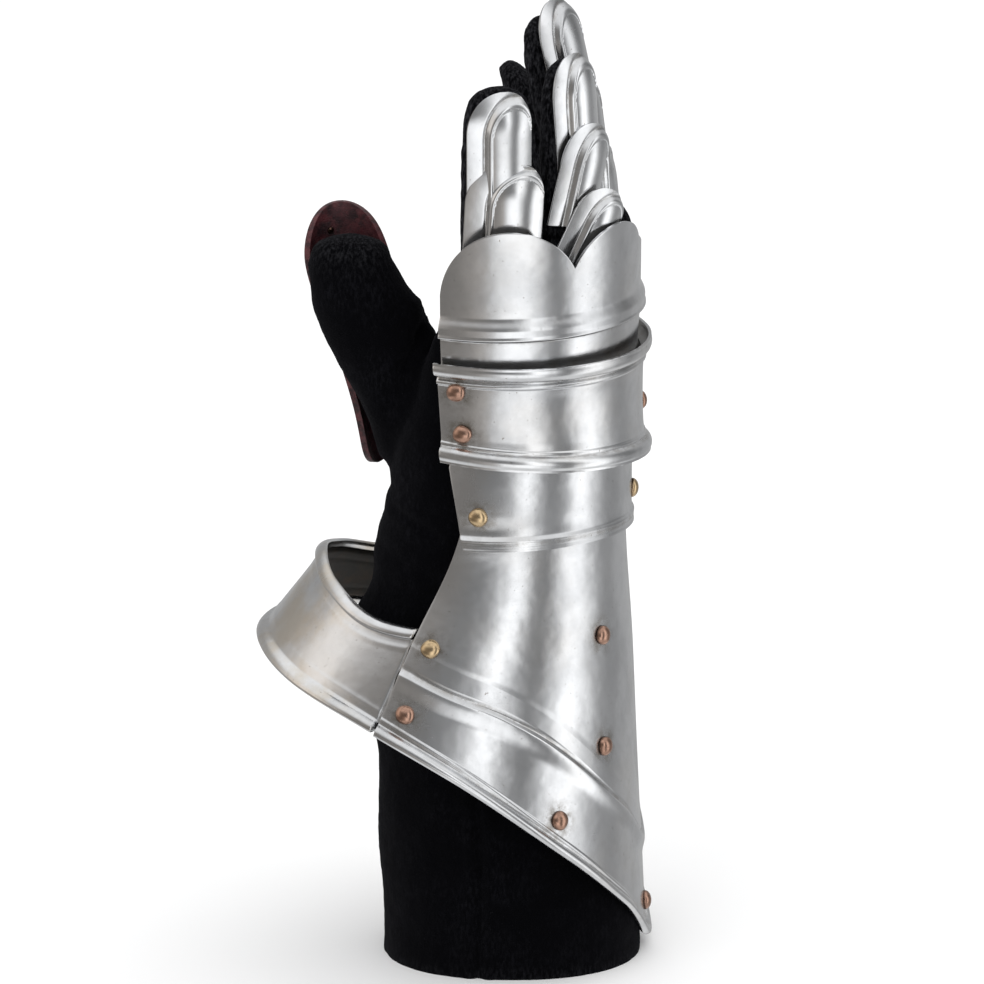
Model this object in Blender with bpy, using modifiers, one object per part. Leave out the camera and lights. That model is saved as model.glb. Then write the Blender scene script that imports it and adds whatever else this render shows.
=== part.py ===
"""An armoured gauntlet for the right hand, standing on the hem of its leather glove with the fingers up.

Metres, +Z up. The hem stands on z = 0, the back of the hand faces +X and -Y, and the thumb is at -X.
An angle round the gauntlet is measured from -Y, where it is 0, towards +X, where it is 90 degrees.
"""

import math

import bmesh
import bpy
from mathutils import Matrix, Vector

# Sheet and leather
STEEL = 0.0012
LEATHER = 0.0018
GUARD_LEATHER = 0.0024
GAP = 0.0004

# Rivets: one pattern for the large plates, one for the thumb guard
RIVET_HEAD = 0.0039
RIVET_RISE = 0.0024
RIVET_SHANK = 0.0015
RIVET_HOLE = 0.0021
RIVET_SIDES = 10
GUARD_RIVET_SCALE = 0.55

# The hand plates are arcs of one upright cylinder
HAND_X = 0.0195
HAND_Y = 0.0187
KNUCKLE_REACH = 0.0370
PLATE_STEPS = 17

COLOURS = {
    "steel": ((0.62, 0.62, 0.61), 1.0, 0.28),
    "tarnished_steel": ((0.60, 0.58, 0.52), 1.0, 0.34),
    "copper": ((0.62, 0.36, 0.23), 1.0, 0.35),
    "black_suede": ((0.012, 0.012, 0.014), 0.0, 0.95),
    "oxblood_leather": ((0.055, 0.016, 0.018), 0.0, 0.55),
}

# The cuff is an oblique cone: its outer side is nearly upright and its inner side flares
CUFF_PLATE_TOP = 0.198
CUFF_ROWS = (
    dict(z=0.200, x=0.0150, y=0.0135, wide=0.0545, deep=0.0510),
    dict(z=0.190, x=0.0140, y=0.0130, wide=0.0555, deep=0.0518),
    dict(z=0.177, x=0.0118, y=0.0120, wide=0.0578, deep=0.0532),
    dict(z=0.129, x=-0.0032, y=0.0120, wide=0.0756, deep=0.0676),
    dict(z=0.085, x=-0.0170, y=0.0120, wide=0.0912, deep=0.0808),
    dict(z=0.040, x=-0.0310, y=0.0120, wide=0.1072, deep=0.0943),
    dict(z=0.000, x=-0.0435, y=0.0120, wide=0.1214, deep=0.1063),
)

# Height of the cuff's rolled rim round the arm
RIM_ROWS = (
    dict(turn=-195.0, z=0.108),
    dict(turn=-160.0, z=0.121),
    dict(turn=-90.0, z=0.1295),
    dict(turn=-50.0, z=0.1225),
    dict(turn=-15.0, z=0.1085),
    dict(turn=11.0, z=0.0900),
    dict(turn=45.0, z=0.0540),
    dict(turn=68.0, z=0.0265),
    dict(turn=90.0, z=0.0030),
    dict(turn=112.0, z=0.0265),
    dict(turn=135.0, z=0.0540),
    dict(turn=169.0, z=0.0900),
    dict(turn=195.0, z=0.108),
)

# The glove, from its hem to the knuckles: an oval that curls round the palm as it rises
GLOVE_CUFF_ROWS = (
    dict(z=0.000, x=0.0240, y=0.0040, facing=0.0, wide=0.0512, deep=0.0450, square=2.2, curl=0.0),
    dict(z=0.014, x=0.0240, y=0.0040, facing=0.0, wide=0.0512, deep=0.0450, square=2.2, curl=0.0),
    dict(z=0.045, x=0.0212, y=0.0045, facing=0.0, wide=0.0505, deep=0.0440, square=2.1, curl=0.0),
    dict(z=0.090, x=0.0192, y=0.0050, facing=4.0, wide=0.0490, deep=0.0420, square=2.0, curl=0.0),
    dict(z=0.130, x=0.0184, y=0.0050, facing=8.0, wide=0.0480, deep=0.0395, square=2.0, curl=0.0),
    dict(z=0.1714, x=0.0180, y=0.0045, facing=14.0, wide=0.0470, deep=0.0360, square=2.0, curl=0.0),
)
GLOVE_HAND_ROWS = (
    dict(z=0.1720, x=0.0180, y=0.0045, facing=14.0, wide=0.0470, deep=0.0360, square=2.0, curl=0.0),
    dict(z=0.190, x=0.0190, y=0.0050, facing=20.0, wide=0.0460, deep=0.0335, square=2.0, curl=2.0),
    dict(z=0.213, x=0.0215, y=0.0060, facing=31.0, wide=0.0465, deep=0.0305, square=2.0, curl=8.0),
    dict(z=0.236, x=0.0300, y=0.0055, facing=43.0, wide=0.0475, deep=0.0255, square=2.0, curl=18.0),
    dict(z=0.262, x=0.0420, y=0.0025, facing=53.0, wide=0.0500, deep=0.0180, square=2.1, curl=25.0),
    dict(z=0.2850, x=0.0513, y=0.0006, facing=60.0, wide=0.0515, deep=0.0105, square=2.3, curl=27.0),
)

# Fingers: where each one starts round the knuckles, where its tip is, and how its section changes
FINGERS = {
    "index": dict(turn=1.0, tip=(0.0218, -0.0200, 0.3650), wide=0.0138, deep=0.0062, faces=10.0),
    "middle": dict(turn=44.5, tip=(0.0460, -0.0015, 0.3735), wide=0.0121, deep=0.0062, faces=50.0),
    "ring": dict(turn=84.5, tip=(0.0370, 0.0235, 0.3880), wide=0.0120, deep=0.0062, faces=70.0),
    "little": dict(turn=121.0, tip=(0.0265, 0.0500, 0.3560), wide=0.0110, deep=0.0062, faces=112.0),
}
FINGER_FOOT = 0.2860
FINGER_TWIST = 1.4

# Finger lames: height of the lower edge, half width, length, lean away from the finger
LAMES = (
    dict(name="index_lame_tip", finger="index", z=0.325, wide=0.0130, tall=0.045, off=0.0015, lean=0.5),
    dict(name="index_lame_low", finger="index", z=0.292, wide=0.0157, tall=0.045, off=0.0012, lean=2.0),
    dict(name="middle_lame_tip", finger="middle", z=0.332, wide=0.0118, tall=0.045, off=0.0017, lean=1.0),
    dict(name="middle_lame_mid", finger="middle", z=0.308, wide=0.0124, tall=0.042, off=0.0016, lean=6.0),
    dict(name="middle_lame_low", finger="middle", z=0.2875, wide=0.0128, tall=0.0365, off=0.0029, lean=12.0),
    dict(name="ring_lame_tip", finger="ring", z=0.347, wide=0.0112, tall=0.045, off=0.0019, lean=1.0),
    dict(name="ring_lame_mid", finger="ring", z=0.319, wide=0.0112, tall=0.044, off=0.0025, lean=4.0),
    dict(name="ring_lame_low", finger="ring", z=0.293, wide=0.0116, tall=0.044, off=0.0037, lean=7.0),
    dict(name="little_lame_tip", finger="little", z=0.315, wide=0.0106, tall=0.042, off=0.0023, lean=1.0),
    dict(name="little_lame_low", finger="little", z=0.290, wide=0.0112, tall=0.042, off=0.0038, lean=4.5),
)

parts = None
cutters = None


def clear_scene():
    """Removes whatever the scene held."""
    for obj in list(bpy.data.objects):
        bpy.data.objects.remove(obj, do_unlink=True)


def collection(name):
    """A new collection in the scene."""
    made = bpy.data.collections.new(name)
    bpy.context.scene.collection.children.link(made)
    return made


def material(name):
    """The named finish, made once."""
    found = bpy.data.materials.get(name)
    if found:
        return found
    colour, metallic, roughness = COLOURS[name]
    made = bpy.data.materials.new(name)
    made.use_nodes = True
    shader = made.node_tree.nodes["Principled BSDF"]
    shader.inputs["Base Color"].default_value = (*colour, 1.0)
    shader.inputs["Metallic"].default_value = metallic
    shader.inputs["Roughness"].default_value = roughness
    made.diffuse_color = (*colour, 1.0)
    return made


def add_object(name, mesh, finish, owner=None):
    """Puts a mesh in the gauntlet's collection under this name, with its finish."""
    obj = bpy.data.objects.new(name, mesh)
    (owner or parts).objects.link(obj)
    if finish:
        mesh.materials.append(material(finish))
    return obj


def blend(a, b, t):
    """The value a fraction t of the way from a to b."""
    return a + (b - a) * t


def smooth(t):
    """A step from 0 to 1 with flat ends."""
    t = min(1.0, max(0.0, t))
    return t * t * (3.0 - 2.0 * t)


def from_table(rows, key, at, column):
    """Reads a column at a place between two rows of a table, whose key column rises or falls."""
    ordered = sorted(rows, key=lambda row: row[key])
    if at <= ordered[0][key]:
        return ordered[0][column]
    for low, high in zip(ordered, ordered[1:]):
        if at <= high[key]:
            return blend(low[column], high[column], (at - low[key]) / (high[key] - low[key]))
    return ordered[-1][column]


def around(turn):
    """The outward direction at an angle round the gauntlet, in degrees."""
    a = math.radians(turn)
    return Vector((math.sin(a), -math.cos(a), 0.0))


def grid_mesh(name, rows, closed=False, tip=None):
    """A surface through rows of points. closed joins each row to a ring, and tip closes the last ring."""
    mesh = bmesh.new()
    grid = [[mesh.verts.new(p) for p in row] for row in rows]
    count = len(rows[0])
    last = count if closed else count - 1
    for lower, upper in zip(grid, grid[1:]):
        for i in range(last):
            k = (i + 1) % count
            mesh.faces.new((lower[i], lower[k], upper[k], upper[i]))
    if tip is not None:
        top = mesh.verts.new(tip)
        for i in range(count):
            mesh.faces.new((grid[-1][i], grid[-1][(i + 1) % count], top))
    made = bpy.data.meshes.new(name)
    mesh.to_mesh(made)
    mesh.free()
    made.shade_smooth()
    return made


def shell(name, rows, thickness, finish, closed=False, tip=None):
    """A sheet piece: its outer face runs through the rows, and its thickness goes inwards."""
    obj = add_object(name, grid_mesh(name, rows, closed, tip), finish)
    solid = obj.modifiers.new("Sheet", "SOLIDIFY")
    solid.thickness = thickness
    solid.offset = -1.0
    solid.use_even_offset = True
    return obj


# ---- steel: the cuff ----


def cuff_point(turn, z, stand=0.0):
    """A point on the cuff's cone, raised from it by stand."""
    x, y, wide, deep = (from_table(CUFF_ROWS, "z", z, k) for k in ("x", "y", "wide", "deep"))
    out = around(turn)
    return Vector((x + (wide + stand) * out.x, y + (deep + stand) * out.y, z))


def rim_height(turn):
    """The height of the cuff's rim at an angle."""
    if turn > RIM_ROWS[-1]["turn"]:
        turn -= 360.0
    return from_table(RIM_ROWS, "turn", turn, "z")


# The raised line lies this far above the rim
RIDGE_ROWS = (
    dict(turn=-15.0, above=0.0245),
    dict(turn=2.0, above=0.0268),
    dict(turn=21.5, above=0.0335),
    dict(turn=34.0, above=0.0372),
    dict(turn=60.0, above=0.0394),
    dict(turn=90.0, above=0.0418),
    dict(turn=120.0, above=0.0394),
    dict(turn=146.0, above=0.0372),
    dict(turn=158.5, above=0.0335),
    dict(turn=178.0, above=0.0268),
    dict(turn=195.0, above=0.0245),
)
# Each row is a stretch of the cuff plate: its place between the rim, 0, and the raised line, 1
CUFF_PLATE_BORDER = (
    dict(share=0.00, stand=0.0021),
    dict(share=0.05, stand=0.0031),
    dict(share=0.11, stand=0.0022),
    dict(share=0.18, stand=0.0002),
    dict(share=0.90, stand=0.0002),
    dict(share=0.97, stand=0.0012),
    dict(share=1.03, stand=0.0012),
    dict(share=1.12, stand=0.0000),
)
CUFF_PLATE_UPPER = (0.25, 0.5, 0.75, 1.0)
# Angles of the cuff plate's two edges, at its rim, at its raised line and at its top
CUFF_NEAR_EDGE = dict(rim=-15.0, ridge=-14.6, top=-9.8)
CUFF_FAR_EDGE = dict(rim=195.0, ridge=194.6, top=104.0)
CUFF_STEPS = 22


def cuff_plate():
    """The outer half of the cuff, with a raised line along its border and a rolled rim."""
    rows = []
    for level in CUFF_PLATE_BORDER:
        row = []
        for turn in cuff_turns("rim", "ridge", min(1.0, level["share"])):
            ridge = from_table(RIDGE_ROWS, "turn", turn, "above")
            row.append(cuff_point(turn, rim_height(turn) + ridge * level["share"], level["stand"]))
        rows.append(row)
    for share in CUFF_PLATE_UPPER:
        start = rows[len(CUFF_PLATE_BORDER) - 1]
        turns = cuff_turns("ridge", "top", smooth(share))
        rows.append([cuff_point(t, blend(p.z, CUFF_PLATE_TOP, share)) for t, p in zip(turns, start)])
    return shell("cuff_plate", rows, STEEL, "steel")


def cuff_turns(low, high, share):
    """Angles across the cuff plate, at a share of the way between two of its levels."""
    near = blend(CUFF_NEAR_EDGE[low], CUFF_NEAR_EDGE[high], share)
    far = blend(CUFF_FAR_EDGE[low], CUFF_FAR_EDGE[high], share)
    return [blend(near, far, i / CUFF_STEPS) for i in range(CUFF_STEPS + 1)]


BAND_UPPER_RIM = (
    dict(turn=-182.0, z=0.147),
    dict(turn=-155.0, z=0.150),
    dict(turn=-125.0, z=0.159),
    dict(turn=-90.0, z=0.1655),
    dict(turn=-60.0, z=0.1600),
    dict(turn=-30.0, z=0.1510),
    dict(turn=2.0, z=0.1480),
)
BAND_PROFILE = (
    dict(share=0.00, stand=0.0022),
    dict(share=0.05, stand=0.0031),
    dict(share=0.11, stand=0.0018),
    dict(share=0.18, stand=0.0000),
    dict(share=0.84, stand=0.0000),
    dict(share=0.90, stand=0.0018),
    dict(share=0.95, stand=0.0031),
    dict(share=1.00, stand=0.0022),
)
# The band runs between these angles, and is free of the cuff plate between the other two
BAND_START = -182.0
BAND_END = 2.0
BAND_FREE_FROM = -164.6
BAND_FREE_TO = -15.4
BAND_EASE = 3.4
BAND_STEPS = 16
BAND_TUCK = 0.0012
BAND_UNDER = 0.0008


def cuff_band():
    """The inner half of the cuff: a band with two rolled rims, whose plain ends lie under the cuff plate."""
    rows = []
    for level in BAND_PROFILE:
        row = []
        for turn in band_turns():
            open_part = band_open(turn)
            lower = rim_height(turn) + BAND_TUCK * (1.0 - open_part)
            upper = from_table(BAND_UPPER_RIM, "turn", turn, "z")
            stand = blend(-BAND_UNDER, level["stand"], open_part) - STEEL - GAP
            row.append(cuff_point(turn, blend(lower, upper, level["share"]), stand))
        rows.append(row)
    return shell("cuff_band", rows, STEEL, "tarnished_steel")


def band_turns():
    """Angles along the band: even steps over its free part, and a few where it goes under the cuff plate."""
    first, last = BAND_FREE_FROM + BAND_EASE, BAND_FREE_TO - BAND_EASE
    free = [blend(first, last, i / BAND_STEPS) for i in range(BAND_STEPS + 1)]
    near = [BAND_FREE_TO, blend(BAND_FREE_TO, BAND_END, 0.5), BAND_END]
    far = [BAND_START, blend(BAND_START, BAND_FREE_FROM, 0.5), BAND_FREE_FROM]
    return [*far, *free, *near]


def band_open(turn):
    """1 where the band is free, 0 where it lies under the cuff plate."""
    return smooth((BAND_FREE_TO - turn) / BAND_EASE) * smooth((turn - BAND_FREE_FROM) / BAND_EASE)


# ---- steel: the three plates over the hand ----

WRIST_LAME_ROWS = (
    dict(near=0.1825, far=0.1780, x=0.0124, y=0.0122, wide=0.0592, deep=0.0560, arch=0.0018, sag=0.0),
    dict(near=0.1845, far=0.1800, x=0.0128, y=0.0123, wide=0.0592, deep=0.0560, arch=0.0018, sag=0.0),
    dict(near=0.1880, far=0.1840, x=0.0133, y=0.0127, wide=0.0581, deep=0.0548, arch=0.0014, sag=0.0),
    dict(near=0.1960, far=0.1920, x=0.0148, y=0.0135, wide=0.0570, deep=0.0547, arch=0.0006, sag=0.0),
    dict(near=0.2060, far=0.2020, x=0.0165, y=0.0152, wide=0.0556, deep=0.0544, arch=0.0, sag=0.0),
    dict(near=0.2150, far=0.2110, x=0.0178, y=0.0168, wide=0.0543, deep=0.0540, arch=0.0, sag=0.0),
    dict(near=0.2240, far=0.2200, x=0.0186, y=0.0178, wide=0.0540, deep=0.0539, arch=0.0, sag=0.0020),
    dict(near=0.2320, far=0.2290, x=0.0190, y=0.0182, wide=0.0537, deep=0.0537, arch=0.0, sag=0.0045),
)
HAND_PLATE_ROWS = (
    dict(near=0.2152, far=0.2040, wide=0.0584, arch=0.0018),
    dict(near=0.2175, far=0.2060, wide=0.0597, arch=0.0018),
    dict(near=0.2205, far=0.2090, wide=0.0590, arch=0.0016),
    dict(near=0.2240, far=0.2125, wide=0.0570, arch=0.0014),
    dict(near=0.2330, far=0.2270, wide=0.0567, arch=0.0004),
    dict(near=0.2420, far=0.2390, wide=0.0567, arch=0.0008),
    dict(near=0.2480, far=0.2450, wide=0.0570, arch=0.0016),
    dict(near=0.2505, far=0.2475, wide=0.0590, arch=0.0016),
    dict(near=0.2535, far=0.2505, wide=0.0600, arch=0.0016),
    dict(near=0.2560, far=0.2530, wide=0.0594, arch=0.0016),
)
KNUCKLE_PLATE_ROWS = (
    dict(z=0.2360, rise=0.0050, wide=0.0545),
    dict(z=0.2440, rise=0.0010, wide=0.0548),
    dict(z=0.2550, rise=0.0, wide=0.0553),
    dict(z=0.2655, rise=0.0, wide=0.0558),
    dict(z=0.2685, rise=0.0, wide=0.0571),
    dict(z=0.2715, rise=0.0, wide=0.0573),
    dict(z=0.2745, rise=0.0, wide=0.0562),
)
# The hand plate's distance from its axis between its beads
HAND_PLATE_FACE = 0.0567
# The knuckle plate's upper edge: each scallop's highest point, its height, and its reach to each side
SCALLOPS = (
    dict(peak=3.0, z=0.3107, rise=0.0305, before=28.8, after=32.0),
    dict(peak=56.4, z=0.3075, rise=0.0238, before=27.0, after=27.0),
)
SCALLOP_STOPS = (-22.0, -16.0, -7.0, 3.0, 13.0, 21.5, 27.5, 30.6, 34.0, 39.5, 47.0, 56.4, 65.0, 73.0)
SCALLOP_END = 79.0
KNUCKLE_END_HEIGHT = 0.2813
KNUCKLE_REACH_UPPER = 0.0562

# The middle of the back of the hand, the pivots' angle, and the plates' edges on the index side
PLATE_CENTRE = 43.0
PIVOT_TURN = -18.0
WRIST_EDGE = dict(low=-7.5, high=-20.0)
WRIST_EDGE_ROWS = 5.0
HAND_EDGE = dict(low=-24.0, high=-27.0)
KNUCKLE_EDGE = -25.6


def mirrored(turn):
    """The same place on the little-finger side of a hand plate."""
    return 2.0 * PLATE_CENTRE - turn


def arch(turn, reach):
    """A rise over the back of the hand that is nothing at a plate's two pivots."""
    start, end = PIVOT_TURN, mirrored(PIVOT_TURN)
    if turn <= start or turn >= end:
        return 0.0
    return reach * math.sin(math.pi * (turn - start) / (end - start))


def wrist_lame():
    """The narrow plate over the wrist, which lies on the cuff plate."""
    rows = []
    for k, level in enumerate(WRIST_LAME_ROWS):
        near = blend(WRIST_EDGE["low"], WRIST_EDGE["high"], min(1.0, k / WRIST_EDGE_ROWS))
        row = []
        for i in range(PLATE_STEPS + 1):
            turn = blend(near, mirrored(near), i / PLATE_STEPS)
            out = around(turn)
            stand = arch(turn, level["arch"])
            z = blend(level["near"], level["far"], i / PLATE_STEPS) - arch(turn, level["sag"])
            x = level["x"] + (level["wide"] + stand) * out.x
            y = level["y"] + (level["deep"] + stand) * out.y
            row.append(Vector((x, y, z)))
        rows.append(row)
    return shell("wrist_lame", rows, STEEL, "steel")


def hand_point(turn, z, reach):
    """A point at a distance from the upright axis that the hand plates share."""
    out = around(turn)
    return Vector((HAND_X + reach * out.x, HAND_Y + reach * out.y, z))


def hand_plate():
    """The plate over the back of the hand, with a bead along each edge."""
    rows = []
    for k, level in enumerate(HAND_PLATE_ROWS):
        near = blend(HAND_EDGE["low"], HAND_EDGE["high"], k / (len(HAND_PLATE_ROWS) - 1))
        row = []
        for i in range(PLATE_STEPS + 1):
            turn = blend(near, mirrored(near), i / PLATE_STEPS)
            z = blend(level["near"], level["far"], i / PLATE_STEPS)
            row.append(hand_point(turn, z, level["wide"] + arch(turn, level["arch"])))
        rows.append(row)
    return shell("hand_plate", rows, STEEL, "steel")


def scallop_height(turn):
    """The height of the knuckle plate's upper edge: two scallops, then a plain slope."""
    if turn > SCALLOP_END:
        share = (turn - SCALLOP_END) / (mirrored(KNUCKLE_EDGE) - SCALLOP_END)
        return blend(scallop_height(SCALLOP_END), KNUCKLE_END_HEIGHT, share)
    first, second = SCALLOPS
    notch = 0.5 * (first["peak"] + first["after"] + second["peak"] - second["before"])
    row = first if turn < notch else second
    reach = row["before"] if turn < row["peak"] else row["after"]
    x = min(1.0, abs(turn - row["peak"]) / reach)
    return row["z"] - row["rise"] * (1.0 - math.sqrt(1.0 - x * x))


def knuckle_turns():
    """Angles along the knuckle plate, with one on each notch and peak of its edge."""
    rest = [blend(SCALLOP_END, mirrored(KNUCKLE_EDGE), i / 4.0) for i in range(1, 5)]
    return [KNUCKLE_EDGE, *SCALLOP_STOPS, SCALLOP_END, *rest]


def knuckle_plate():
    """The plate over the knuckles, scalloped above, with a raised line across it."""
    turns = knuckle_turns()
    rows = []
    for level in KNUCKLE_PLATE_ROWS:
        rows.append([hand_point(t, level["z"] + arch(t, level["rise"]), level["wide"]) for t in turns])
    rows.append([hand_point(t, scallop_height(t), KNUCKLE_REACH_UPPER) for t in turns])
    return shell("knuckle_plate", rows, STEEL, "steel")


# ---- leather: the glove ----

GLOVE_POINTS = 22
FINGER_POINTS = 14
# How square a finger's section is: 2 is an ellipse
FINGER_SQUARE = 2.3


def oval(row, index, count, inset=0.0):
    """A point of a glove section: an oval, curled round the palm by row['curl'], facing row['facing']."""
    a = 2.0 * math.pi * index / count
    power = 2.0 / row.get("square", FINGER_SQUARE)
    cos_a, sin_a = math.cos(a), math.sin(a)
    deep = row["deep"] if sin_a > 0.0 else row.get("palm", row["deep"])
    u = (row["wide"] - inset) * math.copysign(abs(cos_a) ** power, cos_a)
    v = (deep - inset) * math.copysign(abs(sin_a) ** power, sin_a)
    curl = row["curl"]
    if curl > 1e-6:
        u, v = (1.0 / curl + v) * math.sin(curl * u), (1.0 / curl + v) * math.cos(curl * u) - 1.0 / curl
    back = around(row["facing"])
    across = Vector((-back.y, back.x, 0.0))
    return Vector((row["x"], row["y"], row["z"])) + across * u + back * v


def section(row, count, inset=0.0):
    """A ring of points, anticlockwise from above."""
    return [oval(row, i, count, inset) for i in range(count)][::-1]


def ring_rows(rows, count, inset=0.0):
    """The rings through a table of sections."""
    return [section(row, count, inset) for row in rows]


# How a finger's section changes from its foot to its tip
FINGER_SHAPE = (
    dict(along=0.00, wide=1.00, deep=1.60, curl=27.0),
    dict(along=0.22, wide=1.00, deep=1.20, curl=14.0),
    dict(along=0.45, wide=1.00, deep=1.05, curl=4.0),
    dict(along=0.72, wide=0.97, deep=1.00, curl=0.0),
    dict(along=0.88, wide=0.84, deep=0.88, curl=0.0),
    dict(along=0.96, wide=0.58, deep=0.65, curl=0.0),
)


def finger_axis(finger, along):
    """The middle of a finger at a share of its length."""
    foot = hand_point(finger["turn"], FINGER_FOOT, KNUCKLE_REACH)
    return foot.lerp(Vector(finger["tip"]), along)


def finger_facing(finger, along):
    """The angle that the back of a finger faces, which stops turning before the tip."""
    return blend(finger["turn"], finger["faces"], smooth(along * FINGER_TWIST))


def finger_row(finger, along):
    """The section of a finger at a share of its length."""
    middle = finger_axis(finger, along)
    scale = {key: from_table(FINGER_SHAPE, "along", along, key) for key in ("wide", "deep", "curl")}
    return dict(
        x=middle.x, y=middle.y, z=middle.z, facing=finger_facing(finger, along),
        wide=finger["wide"] * scale["wide"], deep=finger["deep"] * scale["deep"], curl=scale["curl"],
    )


def glove_finger(name, finger):
    """One finger of the glove: a tube, open at its foot and closed at its tip."""
    rows = [finger_row(finger, level["along"]) for level in FINGER_SHAPE]
    rings = ring_rows(rows, FINGER_POINTS)
    return shell("glove_" + name, rings, LEATHER, "black_suede", closed=True, tip=Vector(finger["tip"]))


def glove_cuff():
    """The leather sleeve of the glove, which the gauntlet stands on."""
    rings = ring_rows(GLOVE_CUFF_ROWS, GLOVE_POINTS)
    return shell("glove_cuff", rings, LEATHER, "black_suede", closed=True)


THUMB_ROWS = (
    dict(z=0.2050, x=-0.0140, y=0.0050, facing=-15.0, wide=0.0145, deep=0.0125, palm=0.0120, curl=0.0),
    dict(z=0.2250, x=-0.0180, y=0.0040, facing=-10.0, wide=0.0165, deep=0.0140, palm=0.0120, curl=0.0),
    dict(z=0.2400, x=-0.0240, y=0.0030, facing=-5.0, wide=0.0185, deep=0.0142, palm=0.0112, curl=0.0),
    dict(z=0.2550, x=-0.0302, y=0.0020, facing=0.0, wide=0.0192, deep=0.0142, palm=0.0105, curl=0.0),
    dict(z=0.2680, x=-0.0342, y=0.0010, facing=0.0, wide=0.0205, deep=0.0138, palm=0.0102, curl=0.0),
    dict(z=0.2800, x=-0.0375, y=0.0000, facing=0.0, wide=0.0186, deep=0.0128, palm=0.0098, curl=0.0),
    dict(z=0.2900, x=-0.0406, y=0.0000, facing=0.0, wide=0.0162, deep=0.0105, palm=0.0085, curl=0.0),
    dict(z=0.2970, x=-0.0404, y=0.0000, facing=0.0, wide=0.0112, deep=0.0072, palm=0.0060, curl=0.0),
)
THUMB_TIP = Vector((-0.0404, 0.0000, 0.2995))
THUMB_BASE_ROWS = 5


def closed_loft(name, rings):
    """A closed solid through rings of points, used only as a cutter."""
    mesh = bmesh.new()
    grid = [[mesh.verts.new(p) for p in ring] for ring in rings]
    count = len(rings[0])
    for lower, upper in zip(grid, grid[1:]):
        for i in range(count):
            k = (i + 1) % count
            mesh.faces.new((lower[i], lower[k], upper[k], upper[i]))
    for ring, flip in ((grid[0], True), (grid[-1], False)):
        middle = mesh.verts.new(sum((v.co for v in ring), Vector()) / count)
        for i in range(count):
            a, b = ring[i], ring[(i + 1) % count]
            mesh.faces.new((b, a, middle) if flip else (a, b, middle))
    made = bpy.data.meshes.new(name)
    mesh.to_mesh(made)
    mesh.free()
    return cutter(name, made)


def cutter(name, mesh):
    """A shape that only cuts: it is left out of the render and drawn as wires."""
    obj = add_object(name, mesh, None, cutters)
    obj.hide_render = True
    obj.display_type = "WIRE"
    return obj


def cut(obj, tool):
    """Takes one shape out of another."""
    boolean = obj.modifiers.new("Cut " + tool.name, "BOOLEAN")
    boolean.operation = "DIFFERENCE"
    boolean.solver = "EXACT"
    boolean.object = tool


def glove_hand_and_thumb():
    """The palm and back of the glove, and its thumb, each open to the other."""
    hand = shell("glove_hand", ring_rows(GLOVE_HAND_ROWS, GLOVE_POINTS), LEATHER, "black_suede", closed=True)
    thumb_rings = ring_rows(THUMB_ROWS, FINGER_POINTS)
    thumb = shell("glove_thumb", thumb_rings, LEATHER, "black_suede", closed=True, tip=THUMB_TIP)
    hand_space = closed_loft("hand_space", ring_rows(GLOVE_HAND_ROWS, GLOVE_POINTS, -GAP))
    base_rows = THUMB_ROWS[:THUMB_BASE_ROWS]
    thumb_hollow = closed_loft("thumb_hollow", ring_rows(base_rows, FINGER_POINTS, LEATHER + GAP))
    cut(thumb, hand_space)
    cut(hand, thumb_hollow)


GUARD_ROWS = (
    dict(z=0.1995, x=-0.0225, y=0.0095, wide=0.0095, deep=0.0110, near=-95.0, far=-150.0),
    dict(z=0.2040, x=-0.0190, y=0.0105, wide=0.0155, deep=0.0130, near=-90.0, far=-170.0),
    dict(z=0.2250, x=-0.0235, y=0.0100, wide=0.0165, deep=0.0135, near=-95.0, far=-190.0),
    dict(z=0.2480, x=-0.0290, y=0.0076, wide=0.0182, deep=0.0150, near=-102.0, far=-212.0),
    dict(z=0.2700, x=-0.0368, y=0.0050, wide=0.0192, deep=0.0160, near=-108.0, far=-225.0),
    dict(z=0.2880, x=-0.0410, y=0.0032, wide=0.0192, deep=0.0160, near=-100.0, far=-250.0),
    dict(z=0.3000, x=-0.0422, y=0.0038, wide=0.0178, deep=0.0150, near=-115.0, far=-245.0),
    dict(z=0.3070, x=-0.0415, y=0.0060, wide=0.0140, deep=0.0140, near=-152.0, far=-210.0),
)
GUARD_STEPS = 11


def thumb_guard():
    """The stiff leather guard behind the thumb, open along its front and rounded at both ends."""
    rows = []
    for level in GUARD_ROWS:
        row = []
        for i in range(GUARD_STEPS + 1):
            out = around(blend(level["far"], level["near"], i / GUARD_STEPS))
            x = level["x"] + level["wide"] * out.x
            y = level["y"] + level["deep"] * out.y
            row.append(Vector((x, y, level["z"])))
        rows.append(row)
    return shell("thumb_guard", rows, GUARD_LEATHER, "oxblood_leather")


# ---- steel: the finger lames ----

LAME_STEEL = 0.0010
LAME_COLUMNS = (-1.0, -0.62, -0.48, 0.0, 0.48, 0.62, 1.0)
LAME_ROWS = (0.0, 0.65, 0.80, 0.88, 0.95, 1.0)
LAME_PATTERN = 0.0130
LAME_EDGE = 0.0042
LAME_CROWN = 0.0110
LAME_STEP = 0.0012
LAME_DOME = 1.8
LAME_BORDER_SIDE = dict(start=0.48, width=0.14)
LAME_BORDER_TOP = dict(start=0.80, width=0.08)
# The top is rounded over this share of the height, by this power, to this share of the width
LAME_ROUND = 0.38
LAME_POWER = 2.4
LAME_FLAT_TOP = 0.06
# A lame faces the way its finger does at this share of the lame's height
LAME_FACING_AT = 0.4


def lame_outline(wide, level):
    """Half the width of a lame at a share of its height, rounded at its top."""
    x = max(0.0, (level - 1.0 + LAME_ROUND) / LAME_ROUND)
    return wide * max(LAME_FLAT_TOP, 1.0 - x ** LAME_POWER) ** (1.0 / LAME_POWER)


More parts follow.
